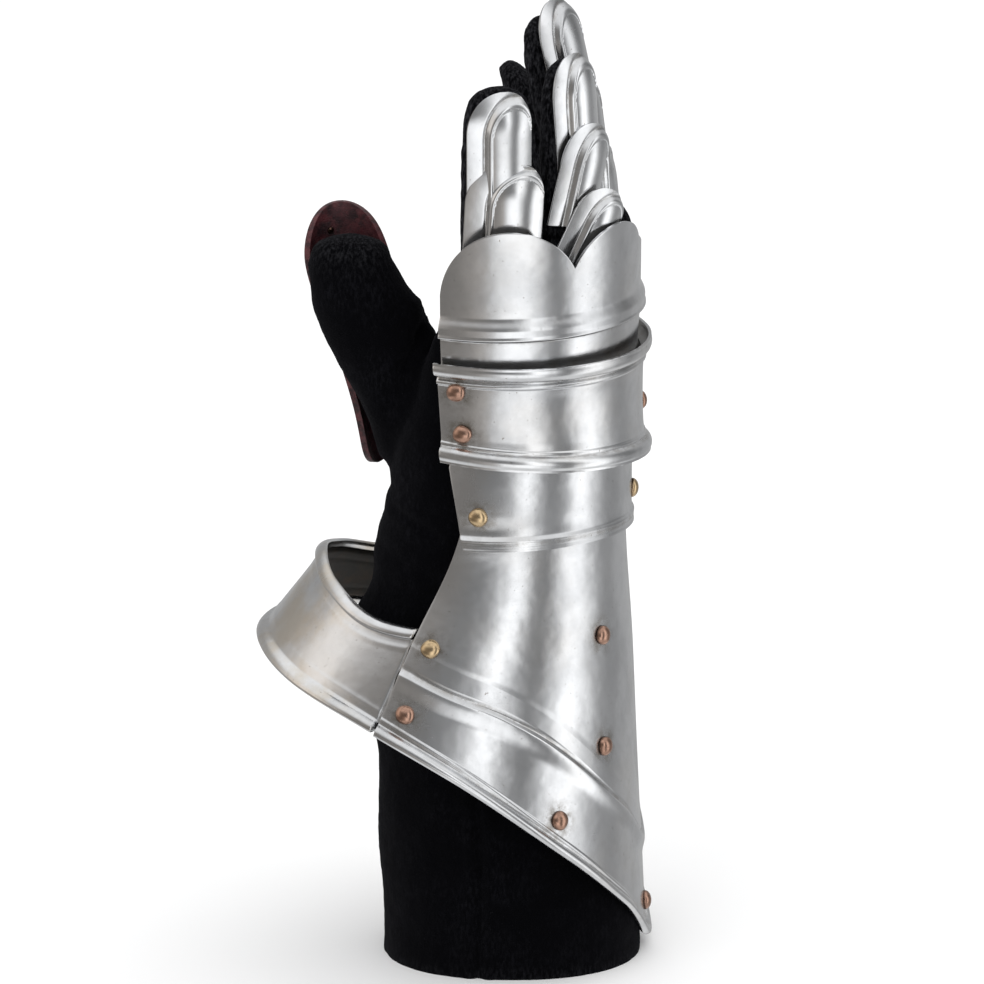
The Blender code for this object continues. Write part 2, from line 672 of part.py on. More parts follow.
def lame_stand(side, level, narrowed):
    """How far a lame stands from the middle of its finger: domed, with a lower border round the dome."""
    dome = LAME_EDGE + (LAME_CROWN - LAME_EDGE) * (1.0 - abs(side * narrowed) ** LAME_DOME)
    sides = smooth((abs(side) - LAME_BORDER_SIDE["start"]) / LAME_BORDER_SIDE["width"])
    top = smooth((level - LAME_BORDER_TOP["start"]) / LAME_BORDER_TOP["width"])
    return dome - LAME_STEP * max(sides, top)


def finger_lame(row):
    """One finger lame: a dome inside a flat border, rounded above and straight below."""
    finger = FINGERS[row["finger"]]
    foot, tip = finger_axis(finger, 0.0), finger_axis(finger, 1.0)
    middle = row["z"] + LAME_FACING_AT * row["tall"]
    back = around(finger_facing(finger, (middle - foot.z) / (tip.z - foot.z)))
    across = Vector((-back.y, back.x, 0.0))
    rise = (tip - foot).normalized()
    base = foot.lerp(tip, (row["z"] - foot.z) / (tip.z - foot.z))
    lean = math.tan(math.radians(row["lean"]))
    scale = row["wide"] / LAME_PATTERN
    rows = []
    for level in LAME_ROWS:
        height = row["tall"] * level
        wide = lame_outline(row["wide"], level)
        line = []
        for side in LAME_COLUMNS:
            stand = scale * lame_stand(side, level, wide / row["wide"]) + row["off"] + height * lean
            line.append(base + rise * height + across * (wide * side) + back * stand)
        rows.append(line)
    return shell(row["name"], rows, LAME_STEEL, "steel")


# ---- rivets ----

# plate is the outer one that the head rests on, under is the plate below it
RIVETS = (
    dict(name="knuckle_pivot_index", plate="hand_plate", under="knuckle_plate", turn=-18.3, z=0.2442),
    dict(name="knuckle_pivot_little", plate="hand_plate", under="knuckle_plate", turn=104.3, z=0.2400),
    dict(name="hand_pivot_index", plate="hand_plate", under="wrist_lame", turn=-15.6, z=0.2270),
    dict(name="hand_pivot_little", plate="hand_plate", under="wrist_lame", turn=101.6, z=0.2215),
    dict(name="wrist_pivot_index", plate="wrist_lame", under="cuff_plate", turn=-4.0, z=0.1940),
    dict(name="wrist_pivot_little", plate="wrist_lame", under="cuff_plate", turn=90.0, z=0.1900),
    dict(name="band_rivet_upper", plate="cuff_plate", under="cuff_band", turn=-7.9, z=0.1420),
    dict(name="band_rivet_lower", plate="cuff_plate", under="cuff_band", turn=-8.4, z=0.1170),
    dict(name="band_rivet_far_upper", plate="cuff_plate", under="cuff_band", turn=184.0, z=0.1400),
    dict(name="band_rivet_far_lower", plate="cuff_plate", under="cuff_band", turn=187.5, z=0.1170),
    dict(name="cuff_rivet_upper", plate="cuff_plate", under=None, turn=56.5, z=0.1394),
    dict(name="cuff_rivet_middle", plate="cuff_plate", under=None, turn=58.5, z=0.0946),
    dict(name="rim_rivet_front", plate="cuff_plate", under=None, turn=41.9, z=0.0705),
    dict(name="rim_rivet_outer", plate="cuff_plate", under=None, turn=88.0, z=0.0178),
    dict(name="guard_rivet_tip", plate="thumb_guard", under=None, turn=-155.0, z=0.2965),
    dict(name="guard_rivet_base", plate="thumb_guard", under=None, turn=-135.0, z=0.2200),
)
# How far a shank reaches below the outer plate's outer face: through both plates, or through one
RIVET_REACH = {"hand_plate": 0.0053, "wrist_lame": 0.0049, "cuff_plate": 0.0041}
RIVET_SEAT = 0.0005
RIVET_PEEN = 0.0009
RIVET_PEEN_CLEAR = 0.0007
RIVET_PEEN_SPREAD = 1.8
RIVET_DOME = (math.radians(55.0), math.radians(25.0))
HOLE_DEPTH = 0.0120
HOLE_SINK = 0.0018
# The wrist lame's rows sink by this much between these angles
WRIST_FALL = dict(start=-14.0, end=100.0, fall=0.004)


def wrist_point(turn, z):
    """A point on the wrist lame's outer face, whose rows sink towards the little finger."""
    share = (turn - WRIST_FALL["start"]) / (WRIST_FALL["end"] - WRIST_FALL["start"])
    level = z + WRIST_FALL["fall"] * share
    x, y, wide, deep = (from_table(WRIST_LAME_ROWS, "near", level, k) for k in ("x", "y", "wide", "deep"))
    out = around(turn)
    return Vector((x + wide * out.x, y + deep * out.y, z))


def hand_plate_point(turn, z):
    """A point on the hand plate's outer face, between its beads."""
    return hand_point(turn, z, HAND_PLATE_FACE)


def guard_point(turn, z):
    """A point on the outer face of the thumb guard."""
    x, y, wide, deep = (from_table(GUARD_ROWS, "z", z, k) for k in ("x", "y", "wide", "deep"))
    out = around(turn)
    return Vector((x + wide * out.x, y + deep * out.y, z))


PLATE_POINTS = {
    "hand_plate": hand_plate_point,
    "wrist_lame": wrist_point,
    "cuff_plate": cuff_point,
    "thumb_guard": guard_point,
}


def rivet_frame(row):
    """Where a rivet sits on its plate's outer face, and the direction it points."""
    point_at = PLATE_POINTS[row["plate"]]
    turn, z = row["turn"], row["z"]
    along = point_at(turn + 1.0, z) - point_at(turn - 1.0, z)
    up = point_at(turn, z + 0.002) - point_at(turn, z - 0.002)
    return point_at(turn, z), along.cross(up).normalized()


def set_on(obj, place, axis):
    """Stands an object at a place with its Z along an axis."""
    obj.matrix_world = Matrix.Translation(place) @ axis.to_track_quat("Z", "Y").to_matrix().to_4x4()


def rivet_mesh(name, reach, scale):
    """A rivet turned round its axis: a domed head above 0, a shank, and a peened end below."""
    head, rise, shank = RIVET_HEAD * scale, RIVET_RISE * scale, RIVET_SHANK * scale
    profile = (
        *((head * math.cos(a), RIVET_SEAT + rise * math.sin(a)) for a in RIVET_DOME),
        (head, RIVET_SEAT),
        (shank, RIVET_SEAT),
        (shank, -reach),
        (shank * RIVET_PEEN_SPREAD, -reach),
    )
    mesh = bmesh.new()
    rings = []
    for radius, z in profile:
        turns = [2.0 * math.pi * i / RIVET_SIDES for i in range(RIVET_SIDES)]
        rings.append([mesh.verts.new((radius * math.cos(a), radius * math.sin(a), z)) for a in turns])
    top = mesh.verts.new((0.0, 0.0, RIVET_SEAT + rise))
    foot = mesh.verts.new((0.0, 0.0, -reach - RIVET_PEEN * scale))
    for i in range(RIVET_SIDES):
        k = (i + 1) % RIVET_SIDES
        mesh.faces.new((top, rings[0][i], rings[0][k]))
        mesh.faces.new((foot, rings[-1][k], rings[-1][i]))
        for upper, lower in zip(rings, rings[1:]):
            mesh.faces.new((upper[i], lower[i], lower[k], upper[k]))
    made = bpy.data.meshes.new(name)
    mesh.to_mesh(made)
    mesh.free()
    made.shade_smooth()
    return made


def drill(row, place, axis, scale, plates):
    """A rivet's hole through each plate that it passes."""
    mesh = bmesh.new()
    radius = RIVET_HOLE * scale
    bmesh.ops.create_cone(
        mesh, cap_ends=True, segments=RIVET_SIDES, radius1=radius, radius2=radius, depth=HOLE_DEPTH
    )
    made = bpy.data.meshes.new("hole_" + row["name"])
    mesh.to_mesh(made)
    mesh.free()
    tool = cutter(made.name, made)
    set_on(tool, place - axis * HOLE_SINK, axis)
    for name in (row["plate"], row["under"]):
        if name:
            cut(plates[name], tool)


def rivets(plates):
    """Every rivet, with its hole."""
    for row in RIVETS:
        place, axis = rivet_frame(row)
        on_guard = row["plate"] == "thumb_guard"
        scale = GUARD_RIVET_SCALE if on_guard else 1.0
        sheet = GUARD_LEATHER if on_guard else STEEL
        reach = RIVET_REACH[row["plate"]] if row["under"] else sheet + RIVET_PEEN_CLEAR
        obj = add_object(row["name"], rivet_mesh(row["name"], reach, scale), "copper")
        set_on(obj, place, axis)
        drill(row, place, axis, scale, plates)


# ---- hinges ----

# Each plate rocks on a pair of rivets, on a line through the wall of the plate below
HINGES = (
    dict(plate="wrist_lame", pair=("wrist_pivot_index", "wrist_pivot_little"), depth=0.0024),
    dict(plate="hand_plate", pair=("hand_pivot_index", "hand_pivot_little"), depth=0.0030),
    dict(plate="knuckle_plate", pair=("knuckle_pivot_index", "knuckle_pivot_little"), depth=0.0025),
)


def hinge_ends(hinge):
    """The two ends of a hinge's line."""
    ends = []
    for name in hinge["pair"]:
        row = next(r for r in RIVETS if r["name"] == name)
        place, axis = rivet_frame(row)
        ends.append(place - axis * hinge["depth"])
    return ends


def set_origins(plates):
    """Puts the origin of each moving plate in the middle of its hinge."""
    for hinge in HINGES:
        near, far = hinge_ends(hinge)
        middle = (near + far) / 2.0
        plate = plates[hinge["plate"]]
        plate.data.transform(Matrix.Translation(-middle))
        plate.location = middle


# Moves the gauntlet so that its bounding box stands centred on the world's origin
CENTRE = Vector((-0.0005, -0.0120, 0.0))


def main():
    """Builds the gauntlet."""
    global parts, cutters
    clear_scene()
    parts = collection("armoured_gauntlet")
    cutters = collection("cutters")
    plates = {
        "cuff_plate": cuff_plate(),
        "cuff_band": cuff_band(),
        "wrist_lame": wrist_lame(),
        "hand_plate": hand_plate(),
        "knuckle_plate": knuckle_plate(),
        "thumb_guard": thumb_guard(),
    }
    glove_cuff()
    glove_hand_and_thumb()
    for name, finger in FINGERS.items():
        glove_finger(name, finger)
    for row in LAMES:
        finger_lame(row)
    rivets(plates)
    set_origins(plates)
    for obj in list(parts.objects) + list(cutters.objects):
        obj.location += CENTRE


main()
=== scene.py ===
import math
import random

import bmesh
import bpy
from mathutils import Matrix, Vector, noise


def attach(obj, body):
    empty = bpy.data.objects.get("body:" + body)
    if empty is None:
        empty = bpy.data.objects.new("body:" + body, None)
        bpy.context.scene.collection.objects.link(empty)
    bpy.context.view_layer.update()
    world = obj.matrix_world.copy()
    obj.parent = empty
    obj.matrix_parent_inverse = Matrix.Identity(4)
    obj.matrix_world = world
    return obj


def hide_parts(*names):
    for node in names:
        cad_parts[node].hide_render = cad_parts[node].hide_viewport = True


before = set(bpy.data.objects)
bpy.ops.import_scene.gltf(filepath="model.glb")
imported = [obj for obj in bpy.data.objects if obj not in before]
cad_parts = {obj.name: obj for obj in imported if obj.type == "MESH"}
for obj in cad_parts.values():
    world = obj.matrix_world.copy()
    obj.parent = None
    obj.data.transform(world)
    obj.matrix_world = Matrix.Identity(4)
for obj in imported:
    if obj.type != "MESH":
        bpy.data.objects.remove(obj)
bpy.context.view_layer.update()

# metres, +Z up; a turn is an angle round the arm, 0 at the front (-Y) and rising towards +X
standCentre = Vector((-0.0005, -0.0120, 0.0))
sheet = 0.0012
gap = 0.0004


# small helpers

def blend(a, b, t):
    return a + (b - a) * t


def smooth(t):
    t = min(1.0, max(0.0, t))
    return t * t * (3.0 - 2.0 * t)


def spread(low, high, count):
    return [blend(low, high, i / count) for i in range(count + 1)]


def around(turn):
    a = math.radians(turn)
    return Vector((math.sin(a), -math.cos(a), 0.0))


# a smooth curve through pairs of numbers, that never swings past them
def curveThrough(pairs):
    xs, ys = zip(*sorted(pairs))
    widths = [b - a for a, b in zip(xs, xs[1:])]
    slopes = [(b - a) / w for a, b, w in zip(ys, ys[1:], widths)]
    bends = [slopes[0]]
    for i in range(1, len(slopes)):
        low, high, wLow, wHigh = slopes[i - 1], slopes[i], widths[i - 1], widths[i]
        bends.append(0.0 if low * high <= 0.0 else (low * wHigh + high * wLow) / (wLow + wHigh))
    bends.append(slopes[-1])

    def read(at):
        if at <= xs[0]:
            return ys[0]
        if at >= xs[-1]:
            return ys[-1]
        i = 0
        while at > xs[i + 1]:
            i += 1
        w = widths[i]
        t = (at - xs[i]) / w
        return (
            ys[i] * (1 + 2 * t) * (1 - t) ** 2 + bends[i] * w * t * (1 - t) ** 2
            + ys[i + 1] * t * t * (3 - 2 * t) + bends[i + 1] * w * t * t * (t - 1)
        )

    return read


# a table's first column runs along the piece, and each other column gets a curve of its own
def curvesThrough(columns, rows):
    return {name: curveThrough([(row[0], row[i + 1]) for row in rows])
            for i, name in enumerate(columns.split()[1:])}


def namedRows(columns, rows):
    return [dict(zip(columns.split(), row)) for row in rows]


# a half-round bead, a shallow groove where height is less than nothing
def bead(at, centre, half, height):
    x = (at - centre) / half
    return height * math.sqrt(1.0 - x * x) if abs(x) < 1.0 else 0.0


# a soft swelling with no edges
def swell(at, centre, half, height):
    x = (at - centre) / half
    return height * math.exp(-x * x)


# a step that comes up sharply and dies away slowly
def crease(at, start, sharp, flat, fade, height):
    if at < start:
        return 0.0
    if at < start + sharp:
        return height * smooth((at - start) / sharp)
    return height * (1.0 - smooth((at - start - sharp - flat) / fade))


def linkPiece(name, mesh, finish=None):
    piece = bpy.data.objects.new(name, mesh)
    bpy.context.scene.collection.objects.link(piece)
    if finish:
        mesh.materials.append(finish)
    return piece


def gridFaces(mesh, rows, closed):
    grid = [[mesh.verts.new(p + standCentre) for p in row] for row in rows]
    count = len(rows[0])
    for lower, upper in zip(grid, grid[1:]):
        for i in range(count if closed else count - 1):
            k = (i + 1) % count
            mesh.faces.new((lower[i], lower[k], upper[k], upper[i]))
    return grid


def closedTube(mesh, rings):
    grid = gridFaces(mesh, rings, True)
    mesh.faces.new(grid[0][::-1])
    mesh.faces.new(grid[-1])


def finishedMesh(name, mesh, shaded=True):
    made = bpy.data.meshes.new(name)
    mesh.to_mesh(made)
    mesh.free()
    if shaded:
        made.shade_smooth()
    return made


def gridMesh(name, rows):
    mesh = bmesh.new()
    gridFaces(mesh, rows, False)
    return finishedMesh(name, mesh)


def thicken(piece, name, thickness):
    wall = piece.modifiers.new(name, "SOLIDIFY")
    wall.thickness = thickness
    wall.offset = -1.0
    return wall


def easeEdges(piece, width, segments, angle):
    ease = piece.modifiers.new("ease", "BEVEL")
    ease.width = width
    ease.segments = segments
    ease.limit_method = "ANGLE"
    ease.angle_limit = math.radians(angle)


# marks each point of a mesh with a number that its finish reads
def markPoints(mesh, name, values):
    layer = mesh.attributes.new(name, "FLOAT", "POINT")
    layer.data.foreach_set("value", values)


# every new piece hides the nodes it stands for and is hung on the body it rides on
def fit(piece, body, slotName, *nodes):
    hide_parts(*nodes)
    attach(piece, body)
    return piece


# finishes

def addNode(tree, kind, inputs=None, **settings):
    made = tree.nodes.new(kind)
    for key, value in settings.items():
        setattr(made, key, value)
    for key, value in (inputs or {}).items():
        if isinstance(value, bpy.types.NodeSocket):
            tree.links.new(value, made.inputs[key])
        else:
            made.inputs[key].default_value = value
    return made


def newFinish(name, constants):
    made = bpy.data.materials.new(name)
    made.use_nodes = True
    tree = made.node_tree
    shader = tree.nodes["Principled BSDF"]
    for key, value in constants.items():
        shader.inputs[key].default_value = value
    place = addNode(tree, "ShaderNodeTexCoord").outputs["Object"]
    return made, tree, shader, place


def noiseOf(tree, place, scale, detail=4.0, rough=0.55, stretch=None, turn=None):
    if stretch or turn:
        moved = addNode(tree, "ShaderNodeMapping", {"Vector": place})
        moved.inputs["Scale"].default_value = stretch or (1.0, 1.0, 1.0)
        moved.inputs["Rotation"].default_value = turn or (0.0, 0.0, 0.0)
        place = moved.outputs["Vector"]
    made = addNode(tree, "ShaderNodeTexNoise", {"Vector": place, "Scale": scale, "Detail": detail,
                                                "Roughness": rough})
    return made.outputs["Fac"]


def rangeOf(tree, value, low, high, outLow=0.0, outHigh=1.0, way="SMOOTHSTEP"):
    made = addNode(tree, "ShaderNodeMapRange", {"Value": value, "From Min": low, "From Max": high,
                                                "To Min": outLow, "To Max": outHigh}, interpolation_type=way)
    return made.outputs["Result"]


def mathOf(tree, operation, a, b):
    return addNode(tree, "ShaderNodeMath", {0: a, 1: b}, operation=operation).outputs[0]


def mixColour(tree, share, a, b):
    made = addNode(tree, "ShaderNodeMix", data_type="RGBA")
    for socket, value in ((made.inputs[0], share), (made.inputs[6], a), (made.inputs[7], b)):
        if isinstance(value, bpy.types.NodeSocket):
            tree.links.new(value, socket)
        else:
            socket.default_value = value
    return made.outputs[2]


def markOf(tree, name):
    return addNode(tree, "ShaderNodeAttribute", attribute_name=name).outputs["Fac"]


def bumpOf(tree, height, distance, strength=1.0, below=None):
    inputs = {"Height": height, "Distance": distance, "Strength": strength}
    if below:
        inputs["Normal"] = below
    return addNode(tree, "ShaderNodeBump", inputs).outputs["Normal"]


def wireUp(tree, shader, **values):
    sockets = dict(colour="Base Color", rough="Roughness", normal="Normal")
    for key, value in values.items():
        tree.links.new(value, shader.inputs[sockets[key]])


steelLook = dict(
    polished=(0.735, 0.745, 0.76, 1.0),
    dulled=(0.59, 0.60, 0.615, 1.0),
    grime=(0.20, 0.17, 0.13, 1.0),
    heatTint=(0.60, 0.50, 0.36, 1.0),
    smooth=0.17,
    matt=0.25,
    waves=0.00080,
)


# polished plate that has been handled: blotches, fine scratches, small dark pits, grime round rivets, and
# painted shade in grooves and creases
def steelFinish(name, look, tint):
    made, tree, shader, place = newFinish(name, {"Metallic": 1.0})
    blotches = rangeOf(tree, noiseOf(tree, place, 34.0, 7.0, 0.60), 0.36, 0.72)
    clouds = rangeOf(tree, noiseOf(tree, place, 130.0, 5.0, 0.6), 0.42, 0.70)
    colour = mixColour(tree, blotches, look["polished"], look["dulled"])
    colour = mixColour(tree, mathOf(tree, "MULTIPLY", clouds, 0.22), colour, look["dulled"])
    warm = mathOf(tree, "MULTIPLY", rangeOf(tree, noiseOf(tree, place, 24.0, 6.0, 0.6), 0.46, 0.68), tint)
    colour = mixColour(tree, warm, colour, look["heatTint"])
    ragged = rangeOf(tree, noiseOf(tree, place, 210.0, 6.0, 0.68), 0.34, 0.66)
    # the grime mark is partly real grime round the rivets and partly painted shade in grooves and creases
    grime = mathOf(tree, "MULTIPLY", markOf(tree, "grime"), ragged)
    colour = mixColour(tree, grime, colour, look["grime"])
    pits = rangeOf(tree, noiseOf(tree, place, 900.0, 2.0, 0.5), 0.70, 0.76, 0.0, 0.55)
    colour = mixColour(tree, pits, colour, look["grime"])
    scratches = None
    for stretch, turn in (((14.0, 1.0, 1.0), (0.3, 0.9, 0.5)), ((1.0, 1.0, 16.0), (0.5, 0.2, 1.1)),
                          ((1.0, 12.0, 1.0), (1.2, 0.4, 0.2))):
        lines = rangeOf(tree, noiseOf(tree, place, 95.0, 3.0, 0.6, stretch, turn), 0.62, 0.70)
        scratches = lines if scratches is None else mathOf(tree, "MAXIMUM", scratches, lines)
    rough = mathOf(tree, "MULTIPLY_ADD", blotches, look["matt"] - look["smooth"])
    rough.node.inputs[2].default_value = look["smooth"]
    rough = mathOf(tree, "ADD", rough, mathOf(tree, "MULTIPLY", scratches, 0.03))
    rough = mathOf(tree, "ADD", rough, mathOf(tree, "MULTIPLY", grime, 0.16))
    wavy = bumpOf(tree, noiseOf(tree, place, 30.0, 3.0, 0.5), look["waves"])
    dents = bumpOf(tree, noiseOf(tree, place, 150.0, 3.0, 0.5), 0.00005, 1.0, wavy)
    pitted = bumpOf(tree, mathOf(tree, "MULTIPLY", pits, -1.5), 0.000012, 1.0, dents)
    wireUp(tree, shader, colour=colour, rough=rough, normal=pitted)
    return made


# painted shade: a near-black inside for the band, which lies in shade
shadeBlackLook = dict(scale=(0.050, 0.047, 0.043, 1.0), rust=(0.085, 0.060, 0.042, 1.0), matt=0.62)
greyLook = dict(scale=(0.30, 0.295, 0.29, 1.0), rust=(0.20, 0.18, 0.16, 1.0), matt=0.46)


# the inside of a plate: near-black as painted shade, or only scoured to a dull grey
def insideFinish(name, look):
    made, tree, shader, place = newFinish(name, {"Metallic": 0.6, "Roughness": look["matt"]})
    patches = rangeOf(tree, noiseOf(tree, place, 60.0, 6.0, 0.62), 0.42, 0.70)
    crust = bumpOf(tree, noiseOf(tree, place, 700.0, 5.0, 0.65), 0.00008)
    wireUp(tree, shader, colour=mixColour(tree, patches, look["scale"], look["rust"]), normal=crust)
    return made


copperLook = dict(
    bright=(0.45, 0.275, 0.205, 1.0),
    brassy=(0.60, 0.45, 0.27, 1.0),
    dark=(0.11, 0.065, 0.05, 1.0),
    smooth=0.20,
    matt=0.34,
)


# rivets: their own colour on top, darker in the hammer marks, and painted shade round the foot
def copperFinish(name, look, main):
    made, tree, shader, place = newFinish(name, {"Metallic": 1.0})
    patches = rangeOf(tree, noiseOf(tree, place, 420.0, 5.0, 0.6), 0.42, 0.68)
    # painted shade: each rivet is darkened towards its foot, where it meets the plate
    foot = markOf(tree, "grime")
    colour = mixColour(tree, mathOf(tree, "MULTIPLY", patches, 0.35), look[main], look["dark"])
    colour = mixColour(tree, foot, colour, look["dark"])
    rough = rangeOf(tree, patches, 0.0, 1.0, look["smooth"], look["matt"])
    hammer = bumpOf(tree, noiseOf(tree, place, 420.0, 3.0, 0.5), 0.00004)
    wireUp(tree, shader, colour=colour, rough=rough, normal=hammer)
    return made


suedeLook = dict(
    deep=(0.0012, 0.0012, 0.0017, 1.0),
    lifted=(0.0048, 0.0048, 0.0062, 1.0),
    dusty=(0.034, 0.034, 0.038, 1.0),
)


# black napped suede: a short fibrous pile, brushed lighter here and there
def suedeFinish(name, look):
    made, tree, shader, place = newFinish(name, {
        "Roughness": 0.95, "Specular IOR Level": 0.03, "Sheen Weight": 0.025, "Sheen Roughness": 0.5,
        "Sheen Tint": (0.6, 0.6, 0.7, 1.0),
    })
    brushed = rangeOf(tree, noiseOf(tree, place, 48.0, 6.0, 0.62), 0.38, 0.70)
    fibres = rangeOf(tree, noiseOf(tree, place, 900.0, 4.0, 0.7, (1.0, 1.0, 0.35)), 0.40, 0.72)
    lint = rangeOf(tree, noiseOf(tree, place, 1500.0, 2.0, 0.5), 0.72, 0.80, 0.0, 0.35)
    colour = mixColour(tree, mathOf(tree, "MULTIPLY", brushed, fibres), look["deep"], look["lifted"])
    colour = mixColour(tree, mathOf(tree, "MULTIPLY", markOf(tree, "rubbed"), fibres), colour, look["dusty"])
    colour = mixColour(tree, lint, colour, look["dusty"])
    grain = bumpOf(tree, noiseOf(tree, place, 260.0, 5.0, 0.6), 0.00045)
    pile = bumpOf(tree, noiseOf(tree, place, 1300.0, 4.0, 0.75), 0.00030, 1.0, grain)
    wireUp(tree, shader, colour=colour, normal=pile)
    return made


oxbloodLook = dict(
    dark=(0.012, 0.004, 0.006, 1.0),
    red=(0.050, 0.009, 0.013, 1.0),
    worn=(0.095, 0.022, 0.026, 1.0),
)


# smooth oxblood hide with a soft wax shine
def oxbloodFinish(name, look):
    made, tree, shader, place = newFinish(name, {
        "Specular IOR Level": 0.45, "Coat Weight": 0.12, "Coat Roughness": 0.30,
    })
    patches = rangeOf(tree, noiseOf(tree, place, 75.0, 6.0, 0.6), 0.36, 0.68)
    colour = mixColour(tree, patches, look["dark"], look["red"])
    edges = mathOf(tree, "MULTIPLY", markOf(tree, "rubbed"),
                   rangeOf(tree, noiseOf(tree, place, 300.0, 5.0, 0.6), 0.35, 0.65))
    colour = mixColour(tree, edges, colour, look["worn"])
    rough = rangeOf(tree, noiseOf(tree, place, 160.0, 5.0, 0.6), 0.35, 0.7, 0.34, 0.62)
    cells = addNode(tree, "ShaderNodeTexVoronoi", {"Vector": place, "Scale": 1100.0},
                    feature="DISTANCE_TO_EDGE").outputs["Distance"]
    grain = bumpOf(tree, rangeOf(tree, cells, 0.0, 0.25), 0.00010)
    folds = bumpOf(tree, noiseOf(tree, place, 120.0, 4.0, 0.6), 0.00045, 1.0, grain)
    wireUp(tree, shader, colour=colour, rough=rough, normal=folds)
    return made


paintedShadeBlack = insideFinish("paintedShadeInside", shadeBlackLook)
scouredGrey = insideFinish("scouredInside", greyLook)
steel = steelFinish("polishedSteel", steelLook, 0.10)
warmSteel = steelFinish("tarnishedSteel", steelLook, 0.60)
copper = copperFinish("copperRivets", copperLook, "bright")
brass = copperFinish("brassyRivets", copperLook, "brassy")
suede = suedeFinish("blackSuede", suedeLook)
oxblood = oxbloodFinish("oxbloodLeather", oxbloodLook)
print("finishes mixed")


# camera, light and floor

camera = dict(target=(0.0155, -0.0120, 0.1920), distance=9.0, elevation=17.0, view=0.3936, sensor=36.0)
# what the steel mirrors: a low and a high ring of walls, light and dark, each at its turn round the gauntlet
studio = dict(
    lowWalls=((-180, 0.45), (-120, 0.42), (-90, 0.35), (-66, 0.24), (-50, 0.21), (-36, 0.24), (-24, 0.32),
              (-14, 0.46), (-7, 0.78), (-1, 1.25), (9, 1.45), (24, 1.42), (32, 0.95), (39, 0.42),
              (46, 0.24), (54, 0.28), (60, 0.80), (66, 1.52), (80, 1.58), (88, 1.05), (95, 0.62),
              (104, 0.36), (118, 0.32), (132, 0.42), (155, 0.45), (180, 0.45)),
    highWalls=((-180, 0.36), (-150, 0.38), (-126, 0.44), (-108, 0.58), (-92, 0.92), (-76, 0.98),
               (-64, 0.62), (-54, 0.40), (-40, 0.24), (-20, 0.22), (0, 0.22), (9, 0.26), (16, 0.46),
               (21, 1.10), (26, 1.75), (33, 1.60), (39, 0.62), (45, 0.24), (53, 0.20), (60, 0.42),
               (66, 1.00), (72, 1.42), (80, 1.45), (88, 1.10), (96, 0.62), (104, 0.32), (114, 0.20),
               (124, 0.22), (144, 0.45), (180, 0.36)),
    warmFrom=-115, warmTo=-8, warmth=0.07,
    highFrom=-0.20, highTo=0.12,   # how far up a reflection looks where the high ring takes over
    ceiling=1.05, ceilingFrom=0.40, ceilingTo=0.85,
    floorGlow=0.85, glowFrom=-0.45, glowTo=-0.75,
    roomLight=1.06,
    brightest=2.0,   # above every wall, so that the ramps stay below 1
    floor=(0.965, 0.965, 0.965, 1.0), floorDull=(0.955, 0.955, 0.96, 1.0),
    keyLight=7.0, keySize=1.2, keyAt=(-0.9, -1.3, 1.5),
    rimLight=3.2, rimSize=0.9, rimAt=(1.1, 0.9, 1.1),
    middle=(0.0, 0.0, 0.2),
)


def setCamera(c):
    data = bpy.data.cameras.new("standCamera")
    data.sensor_width = c["sensor"]
    data.lens = c["sensor"] * c["distance"] / c["view"]
    data.clip_end = 60.0
    cam = bpy.data.objects.new("standCamera", data)
    bpy.context.scene.collection.objects.link(cam)
    lift = math.radians(c["elevation"])
    back = Vector((0.0, -math.cos(lift), math.sin(lift)))
    cam.location = Vector(c["target"]) + back * c["distance"]
    cam.rotation_euler = back.to_track_quat("Z", "Y").to_euler()
    bpy.context.scene.camera = cam


def wallRamp(tree, turn, s, walls):
    ramp = addNode(tree, "ShaderNodeValToRGB", {"Fac": turn})
    stops = ramp.color_ramp.elements
    stops.remove(stops[1])
    top = s["brightest"]
    for i, (at, light) in enumerate(s[walls]):
        place = (at + 180.0) / 360.0
        stop = stops[0] if i == 0 else stops.new(place)
        stop.position = place
        warm = s["warmth"] if s["warmFrom"] < at < s["warmTo"] else 0.0
        stop.color = (light * (1.0 + warm) / top, light / top, light * (1.0 - warm) / top, 1.0)
    return ramp.outputs["Color"]


def setRoom(s):
    world = bpy.data.worlds.new("studio")
    bpy.context.scene.world = world
    world.use_nodes = True
    tree = world.node_tree
    background = tree.nodes["Background"]
    top = s["brightest"]

    def grey(light):
        return (light / top,) * 3 + (1.0,)

    way = addNode(tree, "ShaderNodeTexCoord").outputs["Generated"]
    parts = addNode(tree, "ShaderNodeSeparateXYZ", {"Vector": way}).outputs
    turn = mathOf(tree, "ARCTAN2", parts["X"], mathOf(tree, "MULTIPLY", parts["Y"], -1.0))
    turn = rangeOf(tree, turn, -math.pi, math.pi, way="LINEAR")
    low, high = wallRamp(tree, turn, s, "lowWalls"), wallRamp(tree, turn, s, "highWalls")
    lift = parts["Z"]
    room = mixColour(tree, rangeOf(tree, lift, s["highFrom"], s["highTo"]), low, high)
    room = mixColour(tree, rangeOf(tree, lift, s["ceilingFrom"], s["ceilingTo"]), room, grey(s["ceiling"]))
    room = mixColour(tree, rangeOf(tree, lift, s["glowFrom"], s["glowTo"]), room, grey(s["floorGlow"]))
    shiny = addNode(tree, "ShaderNodeLightPath").outputs["Is Glossy Ray"]
    tree.links.new(mixColour(tree, shiny, grey(s["roomLight"]), room), background.inputs["Color"])
    background.inputs["Strength"].default_value = top


def addLight(name, power, size, place, aim):
    data = bpy.data.lights.new(name, "AREA")
    data.energy = power
    data.size = size
    lamp = bpy.data.objects.new(name, data)
    bpy.context.scene.collection.objects.link(lamp)
    lamp.location = place
    lamp.rotation_euler = (Vector(place) - Vector(aim)).to_track_quat("Z", "Y").to_euler()
    lamp.visible_glossy = False


